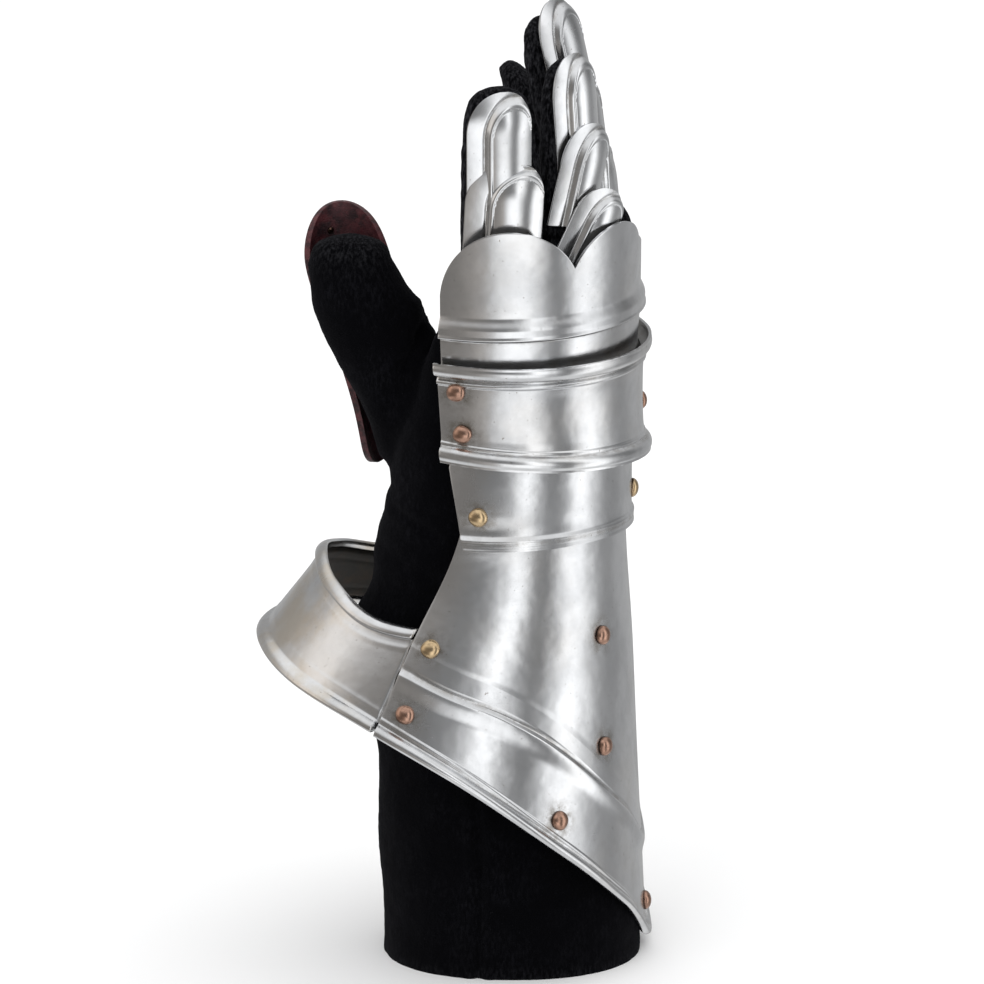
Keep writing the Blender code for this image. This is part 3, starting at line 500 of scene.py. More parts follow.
def layFloor():
    mesh = bmesh.new()
    bmesh.ops.create_grid(mesh, x_segments=1, y_segments=1, size=6.0)
    finish, tree, shader, place = newFinish("paleFloor", {"Roughness": 0.9, "Specular IOR Level": 0.1})
    clouds = noiseOf(tree, place, 3.0, 2.0)
    wireUp(tree, shader, colour=mixColour(tree, clouds, studio["floor"], studio["floorDull"]))
    floor = linkPiece("floor", finishedMesh("floor", mesh, False), finish)
    floor.visible_glossy = False


setCamera(camera)
setRoom(studio)
addLight("keyLight", studio["keyLight"], studio["keySize"], studio["keyAt"], studio["middle"])
addLight("rimLight", studio["rimLight"], studio["rimSize"], studio["rimAt"], studio["middle"])
layFloor()
bpy.context.scene.view_settings.view_transform = "Standard"
print("camera, light and floor set")


# how the plates run, and where each rivet sits: needed early because grime gathers round the rivets

cuffCone = curvesThrough("z x y wide deep", (
    (0.200, 0.0150, 0.0135, 0.0545, 0.0510),
    (0.190, 0.0140, 0.0130, 0.0555, 0.0518),
    (0.177, 0.0118, 0.0120, 0.0578, 0.0532),
    (0.129, -0.0032, 0.0120, 0.0756, 0.0676),
    (0.085, -0.0170, 0.0120, 0.0912, 0.0808),
    (0.040, -0.0310, 0.0120, 0.1072, 0.0943),
    (0.000, -0.0435, 0.0120, 0.1214, 0.1063),
))


# a point at a turn on an oval form; at is how far along the form its oval is read
def ovalPoint(shape, at, turn, z, stand=0.0):
    out = around(turn)
    return Vector((shape["x"](at) + (shape["wide"](at) + stand) * out.x,
                   shape["y"](at) + (shape["deep"](at) + stand) * out.y, z))


def cuffPoint(turn, z, stand=0.0):
    return ovalPoint(cuffCone, z, turn, z, stand)


wristShape = curvesThrough("up x y wide deep arch sag", (
    (0.0000, 0.0124, 0.0122, 0.0593, 0.0561, 0.0018, 0.0),
    (0.0020, 0.0128, 0.0123, 0.0593, 0.0561, 0.0018, 0.0),
    (0.0055, 0.0133, 0.0127, 0.0583, 0.0550, 0.0014, 0.0),
    (0.0135, 0.0148, 0.0135, 0.0570, 0.0547, 0.0006, 0.0),
    (0.0235, 0.0165, 0.0152, 0.0556, 0.0544, 0.0, 0.0),
    (0.0325, 0.0178, 0.0168, 0.0540, 0.0537, 0.0, 0.0),
    (0.0415, 0.0186, 0.0178, 0.0534, 0.0533, 0.0, 0.0020),
    (0.0495, 0.0190, 0.0182, 0.0529, 0.0529, 0.0, 0.0045),
))

handAxis = dict(x=0.0195, y=0.0187, centre=43.0, pivot=-18.0, face=0.0567)


def handPoint(turn, z, reach):
    out = around(turn)
    return Vector((handAxis["x"] + reach * out.x, handAxis["y"] + reach * out.y, z))


def mirrored(turn):
    return 2.0 * handAxis["centre"] - turn


# a rise over the back of the hand that is nothing at the two pivots
def arch(turn, reach):
    start, end = handAxis["pivot"], mirrored(handAxis["pivot"])
    if turn <= start or turn >= end:
        return 0.0
    return reach * math.sin(math.pi * (turn - start) / (end - start))


wristEdge = dict(z=0.1825, fall=0.004, start=-14.0, over=114.0)   # its lower edge falls from end to end


def wristPoint(turn, z):
    up = z - wristEdge["z"] + wristEdge["fall"] * (turn - wristEdge["start"]) / wristEdge["over"]
    return ovalPoint(wristShape, up, turn, z)


guardShape = curvesThrough("z x y wide deep near far", (
    (0.1990, -0.0212, 0.0105, 0.0135, 0.0122, -92.0, -172.0),
    (0.2250, -0.0238, 0.0100, 0.0160, 0.0135, -95.0, -190.0),
    (0.2480, -0.0290, 0.0076, 0.0178, 0.0150, -100.0, -212.0),
    (0.2700, -0.0364, 0.0050, 0.0190, 0.0160, -104.0, -232.0),
    (0.2860, -0.0408, 0.0034, 0.0185, 0.0160, -104.0, -246.0),
    (0.3078, -0.0430, 0.0056, 0.0160, 0.0144, -104.0, -246.0),
))


def guardPoint(turn, z):
    return ovalPoint(guardShape, z, turn, z)


rivetShape = dict(head=0.0039, rise=0.0027, shank=0.0015, seat=0.0004, sides=28, dome=9, small=0.55)
# reach is how far the shank goes through the sheets below
rivetPlaces = namedRows("node on turn z reach metal", (
    ("knuckle_pivot_index", "hand", -18.3, 0.2442, 0.0053, "bright"),
    ("knuckle_pivot_little", "hand", 104.3, 0.2400, 0.0053, "bright"),
    ("hand_pivot_index", "hand", -15.6, 0.2270, 0.0053, "bright"),
    ("hand_pivot_little", "hand", 101.6, 0.2215, 0.0053, "bright"),
    ("wrist_pivot_index", "wrist", -4.0, 0.1940, 0.0049, "brassy"),
    ("wrist_pivot_little", "wrist", 90.0, 0.1900, 0.0049, "brassy"),
    ("band_rivet_upper", "cuff", -7.9, 0.1420, 0.0041, "brassy"),
    ("band_rivet_lower", "cuff", -8.4, 0.1170, 0.0041, "bright"),
    ("band_rivet_far_upper", "cuff", 184.0, 0.1400, 0.0041, "bright"),
    ("band_rivet_far_lower", "cuff", 187.5, 0.1170, 0.0041, "bright"),
    ("cuff_rivet_upper", "cuff", 56.5, 0.1394, 0.0019, "bright"),
    ("cuff_rivet_middle", "cuff", 58.5, 0.0946, 0.0019, "bright"),
    ("rim_rivet_front", "cuff", 41.9, 0.0705, 0.0019, "bright"),
    ("rim_rivet_outer", "cuff", 88.0, 0.0178, 0.0019, "bright"),
    ("guard_rivet_tip", "guard", -155.0, 0.2965, 0.0031, "bright"),
    ("guard_rivet_base", "guard", -135.0, 0.2200, 0.0031, "bright"),
))
rivetBody = dict(hand="hand", wrist="wrist", cuff="glove", guard="glove")
pointOn = dict(
    hand=lambda turn, z: handPoint(turn, z, handAxis["face"]),
    wrist=wristPoint, cuff=cuffPoint, guard=guardPoint,
)


def rivetFrame(row):
    pointAt = pointOn[row["on"]]
    turn, z = row["turn"], row["z"]
    along = pointAt(turn + 1.0, z) - pointAt(turn - 1.0, z)
    up = pointAt(turn, z + 0.002) - pointAt(turn, z - 0.002)
    return pointAt(turn, z) + standCentre, along.cross(up).normalized()


grimeSpots = [rivetFrame(row)[0] for row in rivetPlaces]


# grime is thick within a rivet's own width and thins out over a finger's breadth
def grimeAt(point):
    near = min((point - spot).length for spot in grimeSpots)
    return swell(max(near, 0.0035), 0.0035, 0.0035, 0.75) + 0.12 * math.exp(-near / 0.014)


# a sheet of steel: rows of (points on its outer face, painted shade and grime), thickened inwards, its edges
# eased
def sheetPiece(name, rows, thickness, finish, inside=scouredGrey, even=True):
    mesh = gridMesh(name, [points for points, shadeAndGrime in rows])
    values = []
    for points, shadeAndGrime in rows:
        shares = shadeAndGrime if isinstance(shadeAndGrime, list) else [shadeAndGrime] * len(points)
        values += [min(1.0, share + grimeAt(p + standCentre)) for p, share in zip(points, shares)]
    markPoints(mesh, "grime", values)
    piece = linkPiece(name, mesh, finish)
    mesh.materials.append(inside)
    wall = thicken(piece, "sheet", thickness)
    wall.material_offset = 1
    wall.use_even_offset = even
    easeEdges(piece, 0.00038, 2, 55.0)
    return piece


# the profile of a rim rolled over a wire: how far up the sheet, and how far it stands out
def rolledRim(radius, middle, start, end, count):
    return [(radius - radius * math.sin(a), middle + radius * math.cos(a))
            for a in (math.radians(d) for d in spread(start, end, count))]


# the cuff

rimHeight = curveThrough((
    (-252.0, 0.0900), (-225.0, 0.0540), (-195.0, 0.108), (-160.0, 0.121), (-90.0, 0.1295), (-50.0, 0.1225),
    (-15.0, 0.1085), (11.0, 0.0900), (45.0, 0.0540), (68.0, 0.0265), (90.0, 0.0030), (112.0, 0.0265),
    (135.0, 0.0540), (169.0, 0.0900), (195.0, 0.108),
))
ridgeAbove = curveThrough((
    (-15.0, 0.0245), (2.0, 0.0268), (21.5, 0.0335), (34.0, 0.0372), (60.0, 0.0394), (90.0, 0.0418),
    (120.0, 0.0394), (146.0, 0.0372), (158.5, 0.0335), (178.0, 0.0268), (195.0, 0.0245),
))

cuff = dict(
    top=0.198, columns=220, roll=0.0021, rollStand=0.0006, edgeUp=0.035,
    nearEdge=dict(rim=-15.0, ridge=-14.6, top=-9.8),
    farEdge=dict(rim=195.0, ridge=194.6, top=104.0),
    line=0.00035, ridge=0.0013,
)


def cuffTurn(low, high, share, across):
    near = blend(cuff["nearEdge"][low], cuff["nearEdge"][high], share)
    far = blend(cuff["farEdge"][low], cuff["farEdge"][high], share)
    return blend(near, far, across)


# how far the cuff stands out at a height up from its rim, with the raised line at ridge
def cuffStand(up, ridge):
    stand = 0.0002 + bead(up, 0.0064, 0.0008, cuff["line"])
    rise = smooth((up - ridge + 0.0080) / 0.0074) * (1.0 - smooth((up - ridge + 0.0004) / 0.0018))
    return stand + cuff["ridge"] * rise - bead(up, ridge + 0.0021, 0.0011, 0.0002)


def rolledCuff():
    rows = []
    columns = spread(0.0, 1.0, cuff["columns"])

    def lowRow(up, stand, shadeAndGrime):
        turns = [cuffTurn("rim", "ridge", up / cuff["edgeUp"], across) for across in columns]
        rows.append(([cuffPoint(turn, rimHeight(turn) + up, stand) for turn in turns], shadeAndGrime))

    def highRow(upFrom, shadeAndGrime):
        row = []
        for across in columns:
            turn = cuffTurn("rim", "ridge", 1.0, across)
            up = upFrom(ridgeAbove(turn))
            turn = cuffTurn("rim", "ridge", min(1.0, up / ridgeAbove(turn)), across)
            row.append(cuffPoint(turn, rimHeight(turn) + up, cuffStand(up, ridgeAbove(turn))))
        rows.append((row, shadeAndGrime))

    roll = rolledRim(cuff["roll"], cuff["rollStand"], 225.0, -48.0, 26)
    rollTop, rollOut = roll[-1]
    for up, stand in roll:
        lowRow(up, stand, 0.05)
    for k in range(4, 58, 3):
        lowEnd = rollTop + 0.0001 * k
        valley = blend(rollOut, 0.0, smooth((lowEnd - rollTop) / 0.0012))
        # painted shade in the crease just below the fine raised line
        lowRow(lowEnd, max(valley, cuffStand(lowEnd, 0.1)), swell(lowEnd, 0.0050, 0.0009, 0.30))
    for part in spread(0.0, 1.0, 22)[1:]:
        highRow(lambda ridge: blend(lowEnd, ridge - 0.0055, part), 0.0)
    for off in [-0.0052 + 0.00035 * k for k in range(45)]:
        # painted shade in the groove above the ridge
        highRow(lambda ridge: ridge + off, swell(off, 0.0016, 0.0009, 0.50))
    start = rows[-1][0]
    for share in spread(0.0, 1.0, 60)[1:]:
        turns = [cuffTurn("ridge", "top", smooth(share), across) for across in columns]
        rows.append(([cuffPoint(turn, blend(p.z, cuff["top"], share)) for turn, p in zip(turns, start)], 0.0))
    return sheetPiece("rolledCuff", rows, sheet, steel)


band = dict(
    start=-182.0, end=2.0, freeFrom=-165.0, freeLow=-14.9, freeHigh=-14.0, ease=1.8, columns=368,
    tuck=0.0012, under=0.0008, roll=0.0021, rollStand=0.0006,
)
bandTop = curveThrough((
    (-182.0, 0.147), (-155.0, 0.150), (-125.0, 0.159), (-90.0, 0.1655), (-60.0, 0.1600), (-30.0, 0.1510),
    (2.0, 0.1480),
))


# 1 where the band is clear of the outer half, whose edge leans; high is 1 at the upper rim
def bandOpen(turn, high):
    end = blend(band["freeLow"], band["freeHigh"], high)
    return smooth((end - turn) / band["ease"]) * smooth((turn - band["freeFrom"]) / band["ease"])


# a point of either rolled rim, its roll flattened where the band goes under the outer half
def bandRim(turn, share, upper):
    free = bandOpen(turn, 1.0 if upper else 0.0)
    radius = band["roll"] * (0.35 + 0.65 * free)
    a = math.radians(blend(90.0 + 135.0 * free, -48.0, share))
    up, stand = radius - radius * math.sin(a), radius * math.cos(a) + band["rollStand"] * free
    stand = blend(min(stand, -band["under"]), stand, free) - sheet - gap
    z = bandTop(turn) - up if upper else rimHeight(turn) + band["tuck"] * (1.0 - free) + up
    return cuffPoint(turn, z, stand)


# the inner half of the cuff, its plain ends tucked under the outer half and both rims rolled
def innerBand():
    turns = spread(band["start"], band["end"], band["columns"])
    rows = [([bandRim(turn, share, False) for turn in turns], 0.05) for share in spread(0.0, 1.0, 24)]
    upper = [([bandRim(turn, share, True) for turn in turns], 0.05) for share in spread(1.0, 0.0, 24)]
    ends = list(zip(turns, rows[-1][0], upper[0][0]))
    for part in spread(0.0, 1.0, 60)[1:-1]:
        row = []
        for turn, low, high in ends:
            free = bandOpen(turn, part)
            z = blend(low.z, high.z, part)
            edge = min(z - low.z, high.z - z)
            stand = blend(-band["under"], 0.0, free) - sheet - gap
            stand += free * (0.0016 * (1.0 - smooth(edge / 0.0012)) + swell(edge, 0.0042, 0.0010, 0.0002))
            row.append(cuffPoint(turn, z, stand))
        rows.append((row, 0.0))
    return sheetPiece("innerBand", rows + upper, sheet, warmSteel, paintedShadeBlack, False)


fit(rolledCuff(), "glove", "steel", "cuff_plate")
fit(innerBand(), "glove", "tarnished_steel", "cuff_band")
print("cuff rolled")


# the three plates over the hand

wristLame = dict(
    columns=150, rows=110, tall=0.0495, near=0.1825, far=0.1780, edgeLow=-7.5, edgeHigh=-20.0, edgeUp=0.030,
    cornerDrop=0.0016, cornerReach=60.0, cornerStand=0.0005,   # its low corner hangs a little
)


def wristPlate():
    w = wristLame
    rows = []
    for up in spread(0.0, w["tall"], w["rows"]):
        near = blend(w["edgeLow"], w["edgeHigh"], min(1.0, up / w["edgeUp"]))
        lip = 0.0005 * (1.0 - smooth(up / 0.0016)) + bead(up, 0.0042, 0.0008, 0.0005)
        row = []
        for turn in spread(near, mirrored(near), w["columns"]):
            corner = 1.0 - smooth((turn - w["edgeLow"]) / w["cornerReach"])
            stand = arch(turn, wristShape["arch"](up)) + lip
            stand += w["cornerStand"] * corner * (1.0 - smooth(up / 0.008))
            share = (turn - near) / (mirrored(near) - near)
            z = blend(w["near"], w["far"], share) + up - arch(turn, wristShape["sag"](up))
            z -= w["cornerDrop"] * corner * (1.0 - smooth(up / 0.020))
            row.append(ovalPoint(wristShape, up, turn, z, stand))
        # painted shade in the crease just below the bead
        rows.append((row, swell(up, 0.0030, 0.0009, 0.35)))
    return sheetPiece("wristPlate", rows, sheet, steel)


handPlate = dict(columns=160, rows=150, height=0.0408, edgeLow=-24.0, edgeHigh=-27.0)
handPlateLevels = curvesThrough("up near far arch", (
    (0.0000, 0.2152, 0.2040, 0.0018),
    (0.0088, 0.2240, 0.2125, 0.0014),
    (0.0178, 0.2330, 0.2270, 0.0004),
    (0.0268, 0.2420, 0.2390, 0.0008),
    (0.0328, 0.2480, 0.2450, 0.0016),
    (0.0408, 0.2560, 0.2530, 0.0016),
))


# lower bead with a fine line over it; above, a line, a flute and the lip
def handPlateStand(up):
    stand = bead(max(up, 0.0010), 0.0030, 0.0036, 0.0030) + bead(up, 0.0074, 0.0010, 0.0006)
    stand += 0.0003 * (1.0 - smooth((up - 0.0074) / 0.0040))
    stand += crease(up, 0.0312, 0.0010, 0.0006, 0.0016, 0.0010)
    return stand + bead(min(up, 0.0398), 0.0383, 0.0037, 0.0033)


def backOfHandPlate():
    rows = []
    for up in spread(0.0, handPlate["height"], handPlate["rows"]):
        near = blend(handPlate["edgeLow"], handPlate["edgeHigh"], up / handPlate["height"])
        low, high, rise = (handPlateLevels[k](up) for k in ("near", "far", "arch"))
        row = []
        for share in spread(0.0, 1.0, handPlate["columns"]):
            turn = blend(near, mirrored(near), share)
            row.append(handPoint(turn, blend(low, high, share),
                                 handAxis["face"] + handPlateStand(up) + arch(turn, rise)))
        # painted shade in the hollow between the lower bead and the fine line, and in the flute below the lip
        rows.append((row, swell(up, 0.0064, 0.0007, 0.4) + swell(up, 0.0350, 0.0009, 0.4)))
    return sheetPiece("backOfHandPlate", rows, sheet, steel)


knuckle = dict(columns=230, edge=-25.6, low=0.2360, foot=0.2780, lineAt=0.2652, end=79.0, endHeight=0.2813)
scallops = (
    dict(peak=3.0, z=0.3107, rise=0.0305, before=28.8, after=32.0),
    dict(peak=56.4, z=0.3075, rise=0.0238, before=27.0, after=27.0),
)
knuckleShape = curvesThrough("z rise wide", (
    (0.2360, 0.0050, 0.0542),
    (0.2440, 0.0010, 0.0547),
    (0.2550, 0.0, 0.0550),
    (0.2640, 0.0, 0.0557),
    (0.2745, 0.0, 0.0560),
    (0.3107, 0.0, 0.0562),
))


def notchTurn():
    first, second = scallops
    return 0.5 * (first["peak"] + first["after"] + second["peak"] - second["before"])


def scallopHeight(turn):
    if turn > knuckle["end"]:
        share = (turn - knuckle["end"]) / (mirrored(knuckle["edge"]) - knuckle["end"])
        return blend(scallopHeight(knuckle["end"]), knuckle["endHeight"], share)
    row = scallops[0] if turn < notchTurn() else scallops[1]
    reach = row["before"] if turn < row["peak"] else row["after"]
    x = min(1.0, abs(turn - row["peak"]) / reach)
    return row["z"] - row["rise"] * (1.0 - math.sqrt(1.0 - x * x))


def scallopedPlate():
    edge, foot, lineAt = knuckle["edge"], knuckle["foot"], knuckle["lineAt"]
    turns = sorted(spread(edge, mirrored(edge), knuckle["columns"]) + [notchTurn()])
    rows = []
    for z in spread(knuckle["low"], foot, 90):
        reach = knuckleShape["wide"](z) + crease(z, lineAt, 0.0009, 0.0038, 0.0056, 0.0019)
        reach += bead(z, lineAt + 0.0012, 0.0009, 0.0004)
        rise = knuckleShape["rise"](z)
        # painted shade along the foot of the raised line
        rows.append(([handPoint(t, z + arch(t, rise), reach) for t in turns], swell(z, lineAt, 0.0009, 0.40)))
    for share in spread(0.0, 1.0, 46)[1:]:
        heights = [blend(foot, scallopHeight(t), share) for t in turns]
        rows.append(([handPoint(t, z, knuckleShape["wide"](z)) for t, z in zip(turns, heights)], 0.0))
    return sheetPiece("scallopedPlate", rows, sheet, steel)


fit(wristPlate(), "wrist", "steel", "wrist_lame")
fit(backOfHandPlate(), "hand", "steel", "hand_plate")
fit(scallopedPlate(), "knuckles", "steel", "knuckle_plate")
print("hand plates raised")


# the glove: where its fingers run, which its lames follow too

fingers = {
    "index": dict(turn=-1.5, tip=(0.0182, -0.0200, 0.3672), wide=0.0148, deep=0.0064, faces=10.0),
    "middle": dict(turn=44.5, tip=(0.0442, -0.0015, 0.3735), wide=0.0121, deep=0.0062, faces=48.0),
    "ring": dict(turn=84.5, tip=(0.0352, 0.0225, 0.3845), wide=0.0142, deep=0.0062, faces=50.0),
    "little": dict(turn=121.0, tip=(0.0228, 0.0500, 0.3575), wide=0.0122, deep=0.0066, faces=100.0),
}
fingerFoot = dict(z=0.2860, reach=0.0370, twist=1.4)
fingerShape = curvesThrough("along wide deep curl", (
    (-0.12, 1.00, 1.60, 27.0),
    (0.00, 1.00, 1.60, 27.0),
    (0.22, 1.00, 1.20, 14.0),
    (0.45, 1.00, 1.05, 4.0),
    (0.72, 0.97, 1.00, 0.0),
    (0.88, 0.84, 0.88, 0.0),
    (0.96, 0.58, 0.65, 0.0),
    (0.995, 0.16, 0.22, 0.0),
))


def fingerAxis(finger, along):
    foot = handPoint(finger["turn"], fingerFoot["z"], fingerFoot["reach"])
    return foot.lerp(Vector(finger["tip"]), along)


def fingerFacing(finger, along):
    return blend(finger["turn"], finger["faces"], smooth(along * fingerFoot["twist"]))


sleeveShape = curvesThrough("z x y facing wide deep square curl", (
    (-0.006, 0.0240, 0.0040, 0.0, 0.0512, 0.0450, 2.2, 0.0),
    (0.014, 0.0240, 0.0040, 0.0, 0.0512, 0.0450, 2.2, 0.0),
    (0.045, 0.0212, 0.0045, 0.0, 0.0505, 0.0440, 2.1, 0.0),
    (0.086, 0.0192, 0.0050, 4.0, 0.0492, 0.0420, 2.0, 0.0),
    (0.112, 0.0148, 0.0052, 6.0, 0.0534, 0.0415, 2.0, 0.0),
    (0.136, 0.0130, 0.0052, 8.0, 0.0536, 0.0412, 2.0, 0.0),
    (0.153, 0.0166, 0.0048, 10.0, 0.0492, 0.0380, 2.0, 0.0),
    (0.172, 0.0170, 0.0045, 14.0, 0.0480, 0.0360, 2.0, 0.0),
    (0.190, 0.0190, 0.0050, 20.0, 0.0460, 0.0335, 2.0, 2.0),
    (0.213, 0.0215, 0.0060, 31.0, 0.0465, 0.0305, 2.0, 8.0),
    (0.236, 0.0300, 0.0055, 43.0, 0.0475, 0.0255, 2.0, 18.0),
    (0.262, 0.0410, 0.0025, 53.0, 0.0514, 0.0180, 2.1, 25.0),
    (0.285, 0.0513, 0.0006, 60.0, 0.0515, 0.0105, 2.3, 27.0),
    (0.289, 0.0520, 0.0004, 61.0, 0.0500, 0.0085, 2.3, 27.0),
))
thumbShape = curvesThrough("z x y facing wide deep palm", (
    (0.2050, -0.0140, 0.0050, -15.0, 0.0145, 0.0125, 0.0120),
    (0.2250, -0.0180, 0.0040, -10.0, 0.0165, 0.0140, 0.0120),
    (0.2400, -0.0240, 0.0030, -5.0, 0.0185, 0.0142, 0.0112),
    (0.2550, -0.0284, 0.0020, 0.0, 0.0214, 0.0142, 0.0105),
    (0.2680, -0.0330, 0.0010, 0.0, 0.0220, 0.0138, 0.0102),
    (0.2800, -0.0375, 0.0000, 0.0, 0.0186, 0.0128, 0.0098),
    (0.2900, -0.0406, 0.0000, 0.0, 0.0162, 0.0105, 0.0085),
    (0.2970, -0.0404, 0.0000, 0.0, 0.0112, 0.0072, 0.0060),
    (0.2993, -0.0404, 0.0000, 0.0, 0.0040, 0.0028, 0.0024),
))


# the outer edge of the hand, under the last scallop
handEdge = dict(turn=100.0, reachLow=0.0395, reachTop=0.0478, growFrom=0.268, growOver=0.022,
                wide=0.0125, deep=0.0088, low=0.262, top=0.3045)
formEnds = dict(sleeve=(-0.006, 0.289), thumb=(0.2050, 0.2993), finger=(-0.10, 0.995))


# a ring of points: an oval that curls round the palm and faces a turn
def ovalRing(middle, facing, wide, deep, palm, square, curl, count):
    back = around(facing)
    across = Vector((-back.y, back.x, 0.0))
    ring = []
    for i in range(count):
        a = -2.0 * math.pi * i / count
        cosA, sinA = math.cos(a), math.sin(a)
        u = wide * math.copysign(abs(cosA) ** (2.0 / square), cosA)
        v = (deep if sinA > 0.0 else palm) * math.copysign(abs(sinA) ** (2.0 / square), sinA)
        if curl > 1e-6:
            u, v = (1.0 / curl + v) * math.sin(curl * u), (1.0 / curl + v) * math.cos(curl * u) - 1.0 / curl
        ring.append(middle + across * u + back * v)
    return ring


def gloveForms():
    mesh = bmesh.new()
    s = sleeveShape
    closedTube(mesh, [
        ovalRing(Vector((s["x"](z), s["y"](z), z)), s["facing"](z), s["wide"](z), s["deep"](z), s["deep"](z),
                 s["square"](z), s["curl"](z), 96)
        for z in spread(*formEnds["sleeve"], 130)
    ])
    t = thumbShape
    closedTube(mesh, [
        ovalRing(Vector((t["x"](z), t["y"](z), z)), t["facing"](z), t["wide"](z), t["deep"](z), t["palm"](z),
                 2.2, 0.0, 56)
        for z in spread(*formEnds["thumb"], 60)
    ])
    for finger in fingers.values():
        rings = []
        for along in spread(*formEnds["finger"], 60):
            wide, deep, curl = (fingerShape[k](along) for k in ("wide", "deep", "curl"))
            deep *= finger["deep"]
            rings.append(ovalRing(fingerAxis(finger, along), fingerFacing(finger, max(0.0, along)),
                                  finger["wide"] * wide, deep, deep, 2.3, curl, 48))
        closedTube(mesh, rings)
    e = handEdge
    rings = []
    for z in spread(e["low"], e["top"], 30):
        size = math.sqrt(max(0.01, 1.0 - ((z - e["low"]) / (e["top"] - e["low"])) ** 2))
        reach = blend(e["reachLow"], e["reachTop"], smooth((z - e["growFrom"]) / e["growOver"]))
        wide, deep = e["wide"] * size, e["deep"] * size
        rings.append(ovalRing(handPoint(e["turn"], z, reach), e["turn"], wide, deep, deep, 2.2, 0.0, 40))
    closedTube(mesh, rings)
    return finishedMesh("gloveForms", mesh, False)


glove = dict(
    voxel=0.0017, wall=0.0018, easing=6, puff=0.0003,
    grain=((0.00045, 70.0), (0.00026, 190.0), (0.00013, 480.0)),   # how high, and how many to the metre
    # folds and seams: a line from start to end in the leather, and how wide and deep it is pressed in
    folds=namedRows("start end half deep", (
        ((0.0075, 0.110), (0.0105, 0.045), 0.0016, 0.0016),   # the sleeve's seam
        ((0.0105, 0.045), (0.0098, -0.010), 0.0016, 0.0016),
        ((-0.0225, 0.189), (-0.0060, 0.181), 0.0015, 0.0010),  # heel of the hand
        ((-0.0100, 0.268), (-0.0133, 0.260), 0.0020, 0.0016),  # web of the thumb
        ((-0.0133, 0.260), (-0.0183, 0.248), 0.0022, 0.0013),
        ((-0.0183, 0.248), (-0.0255, 0.228), 0.0028, 0.0009),
        ((-0.0265, 0.196), (-0.0150, 0.204), 0.0022, 0.0007),
        ((-0.0280, 0.172), (-0.0080, 0.164), 0.0024, 0.0007),
    )),
)


def lineDistance(x, z, start, end):
    ax, az = end[0] - start[0], end[1] - start[1]
    t = min(1.0, max(0.0, ((x - start[0]) * ax + (z - start[1]) * az) / (ax * ax + az * az)))
    return math.hypot(x - start[0] - ax * t, z - start[1] - az * t)


# how far the leather is pressed in or puffed out at a point
def leatherRelief(p, normal):
    relief = sum(height * noise.noise(p * count) for height, count in glove["grain"])
    if normal.y < 0.2:
        for fold in glove["folds"]:
            far = lineDistance(p.x, p.z, fold["start"], fold["end"])
            relief -= swell(far, 0.0, fold["half"], fold["deep"])
            relief += swell(far, 2.6 * fold["half"], fold["half"], 0.35 * fold["deep"])
    return relief


def fittedGlove():
    rough = linkPiece("gloveForms", gloveForms())
    remesh = rough.modifiers.new("one skin", "REMESH")
    remesh.mode = "VOXEL"
    remesh.voxel_size = glove["voxel"]
    mesh = bmesh.new()
    mesh.from_object(rough, bpy.context.evaluated_depsgraph_get())
    bpy.data.objects.remove(rough, do_unlink=True)
    for _ in range(glove["easing"]):
        bmesh.ops.smooth_vert(mesh, verts=mesh.verts, factor=0.5,
                              use_axis_x=True, use_axis_y=True, use_axis_z=True)
    mesh.normal_update()
    moves = [(v, v.normal.copy(), leatherRelief(v.co, v.normal)) for v in mesh.verts]   # before any moves
    for v, normal, relief in moves:
        v.co += normal * (relief + glove["puff"])
    bmesh.ops.bisect_plane(mesh, geom=mesh.verts[:] + mesh.edges[:] + mesh.faces[:], dist=0.00002,
                           plane_co=(0.0, 0.0, 0.0), plane_no=(0.0, 0.0, 1.0), clear_inner=True)
    mesh.normal_update()
    rubbed = [0.85 * smooth((v.co.z - 0.280) / 0.03) + 0.25 * smooth(1.0 - v.co.z / 0.006)
              for v in mesh.verts]   # at the fingertips and round the hem
    made = finishedMesh("fittedGlove", mesh)
    markPoints(made, "rubbed", rubbed)
    piece = linkPiece("fittedGlove", made, suede)
    thicken(piece, "leather", glove["wall"])
    return piece


fit(fittedGlove(), "glove", "black_suede", "glove_cuff", "glove_hand", "glove_thumb", "glove_index",
    "glove_middle", "glove_ring", "glove_little")
print("glove drawn on")


# the stiff guard behind the thumb

guard = dict(thickness=0.0024, columns=60, rows=110, low=0.1990, roundLow=0.2110, roundTop=0.2840, top=0.3078)


# how wide the guard is left at a height, as a share: both ends are cut round
def guardWidth(z):
    if z > guard["roundTop"]:
        part = (z - guard["roundTop"]) / (guard["top"] - guard["roundTop"])
    else:
        part = max(0.0, (guard["roundLow"] - z) / (guard["roundLow"] - guard["low"]))
    return max(0.05, math.sqrt(max(0.0, 1.0 - part * part)))


def thumbGuardLeather():
    rows = []
    for i in range(guard["rows"] + 1):
        z = blend(guard["low"], guard["top"], 0.5 - 0.5 * math.cos(math.pi * i / guard["rows"]))
        near, far = guardShape["near"](z), guardShape["far"](z)
        middle, half = 0.5 * (near + far), 0.5 * (near - far) * guardWidth(z)
        rows.append([guardPoint(turn, z) for turn in spread(middle - half, middle + half, guard["columns"])])
    mesh = gridMesh("thumbGuardLeather", rows)
    count = guard["columns"]
    markPoints(mesh, "rubbed", [
        max(math.exp(-min(i, count - i) / 3.0), smooth((p.z - 0.285) / 0.02) * 0.7)
        for row in rows for i, p in enumerate(row)
    ])
    piece = linkPiece("thumbGuardLeather", mesh, oxblood)
    thicken(piece, "hide", guard["thickness"])
    easeEdges(piece, 0.0006, 3, 50.0)
    return piece


fit(thumbGuardLeather(), "glove", "oxblood_leather", "thumb_guard")
print("thumb guard shaped")


# finger lames

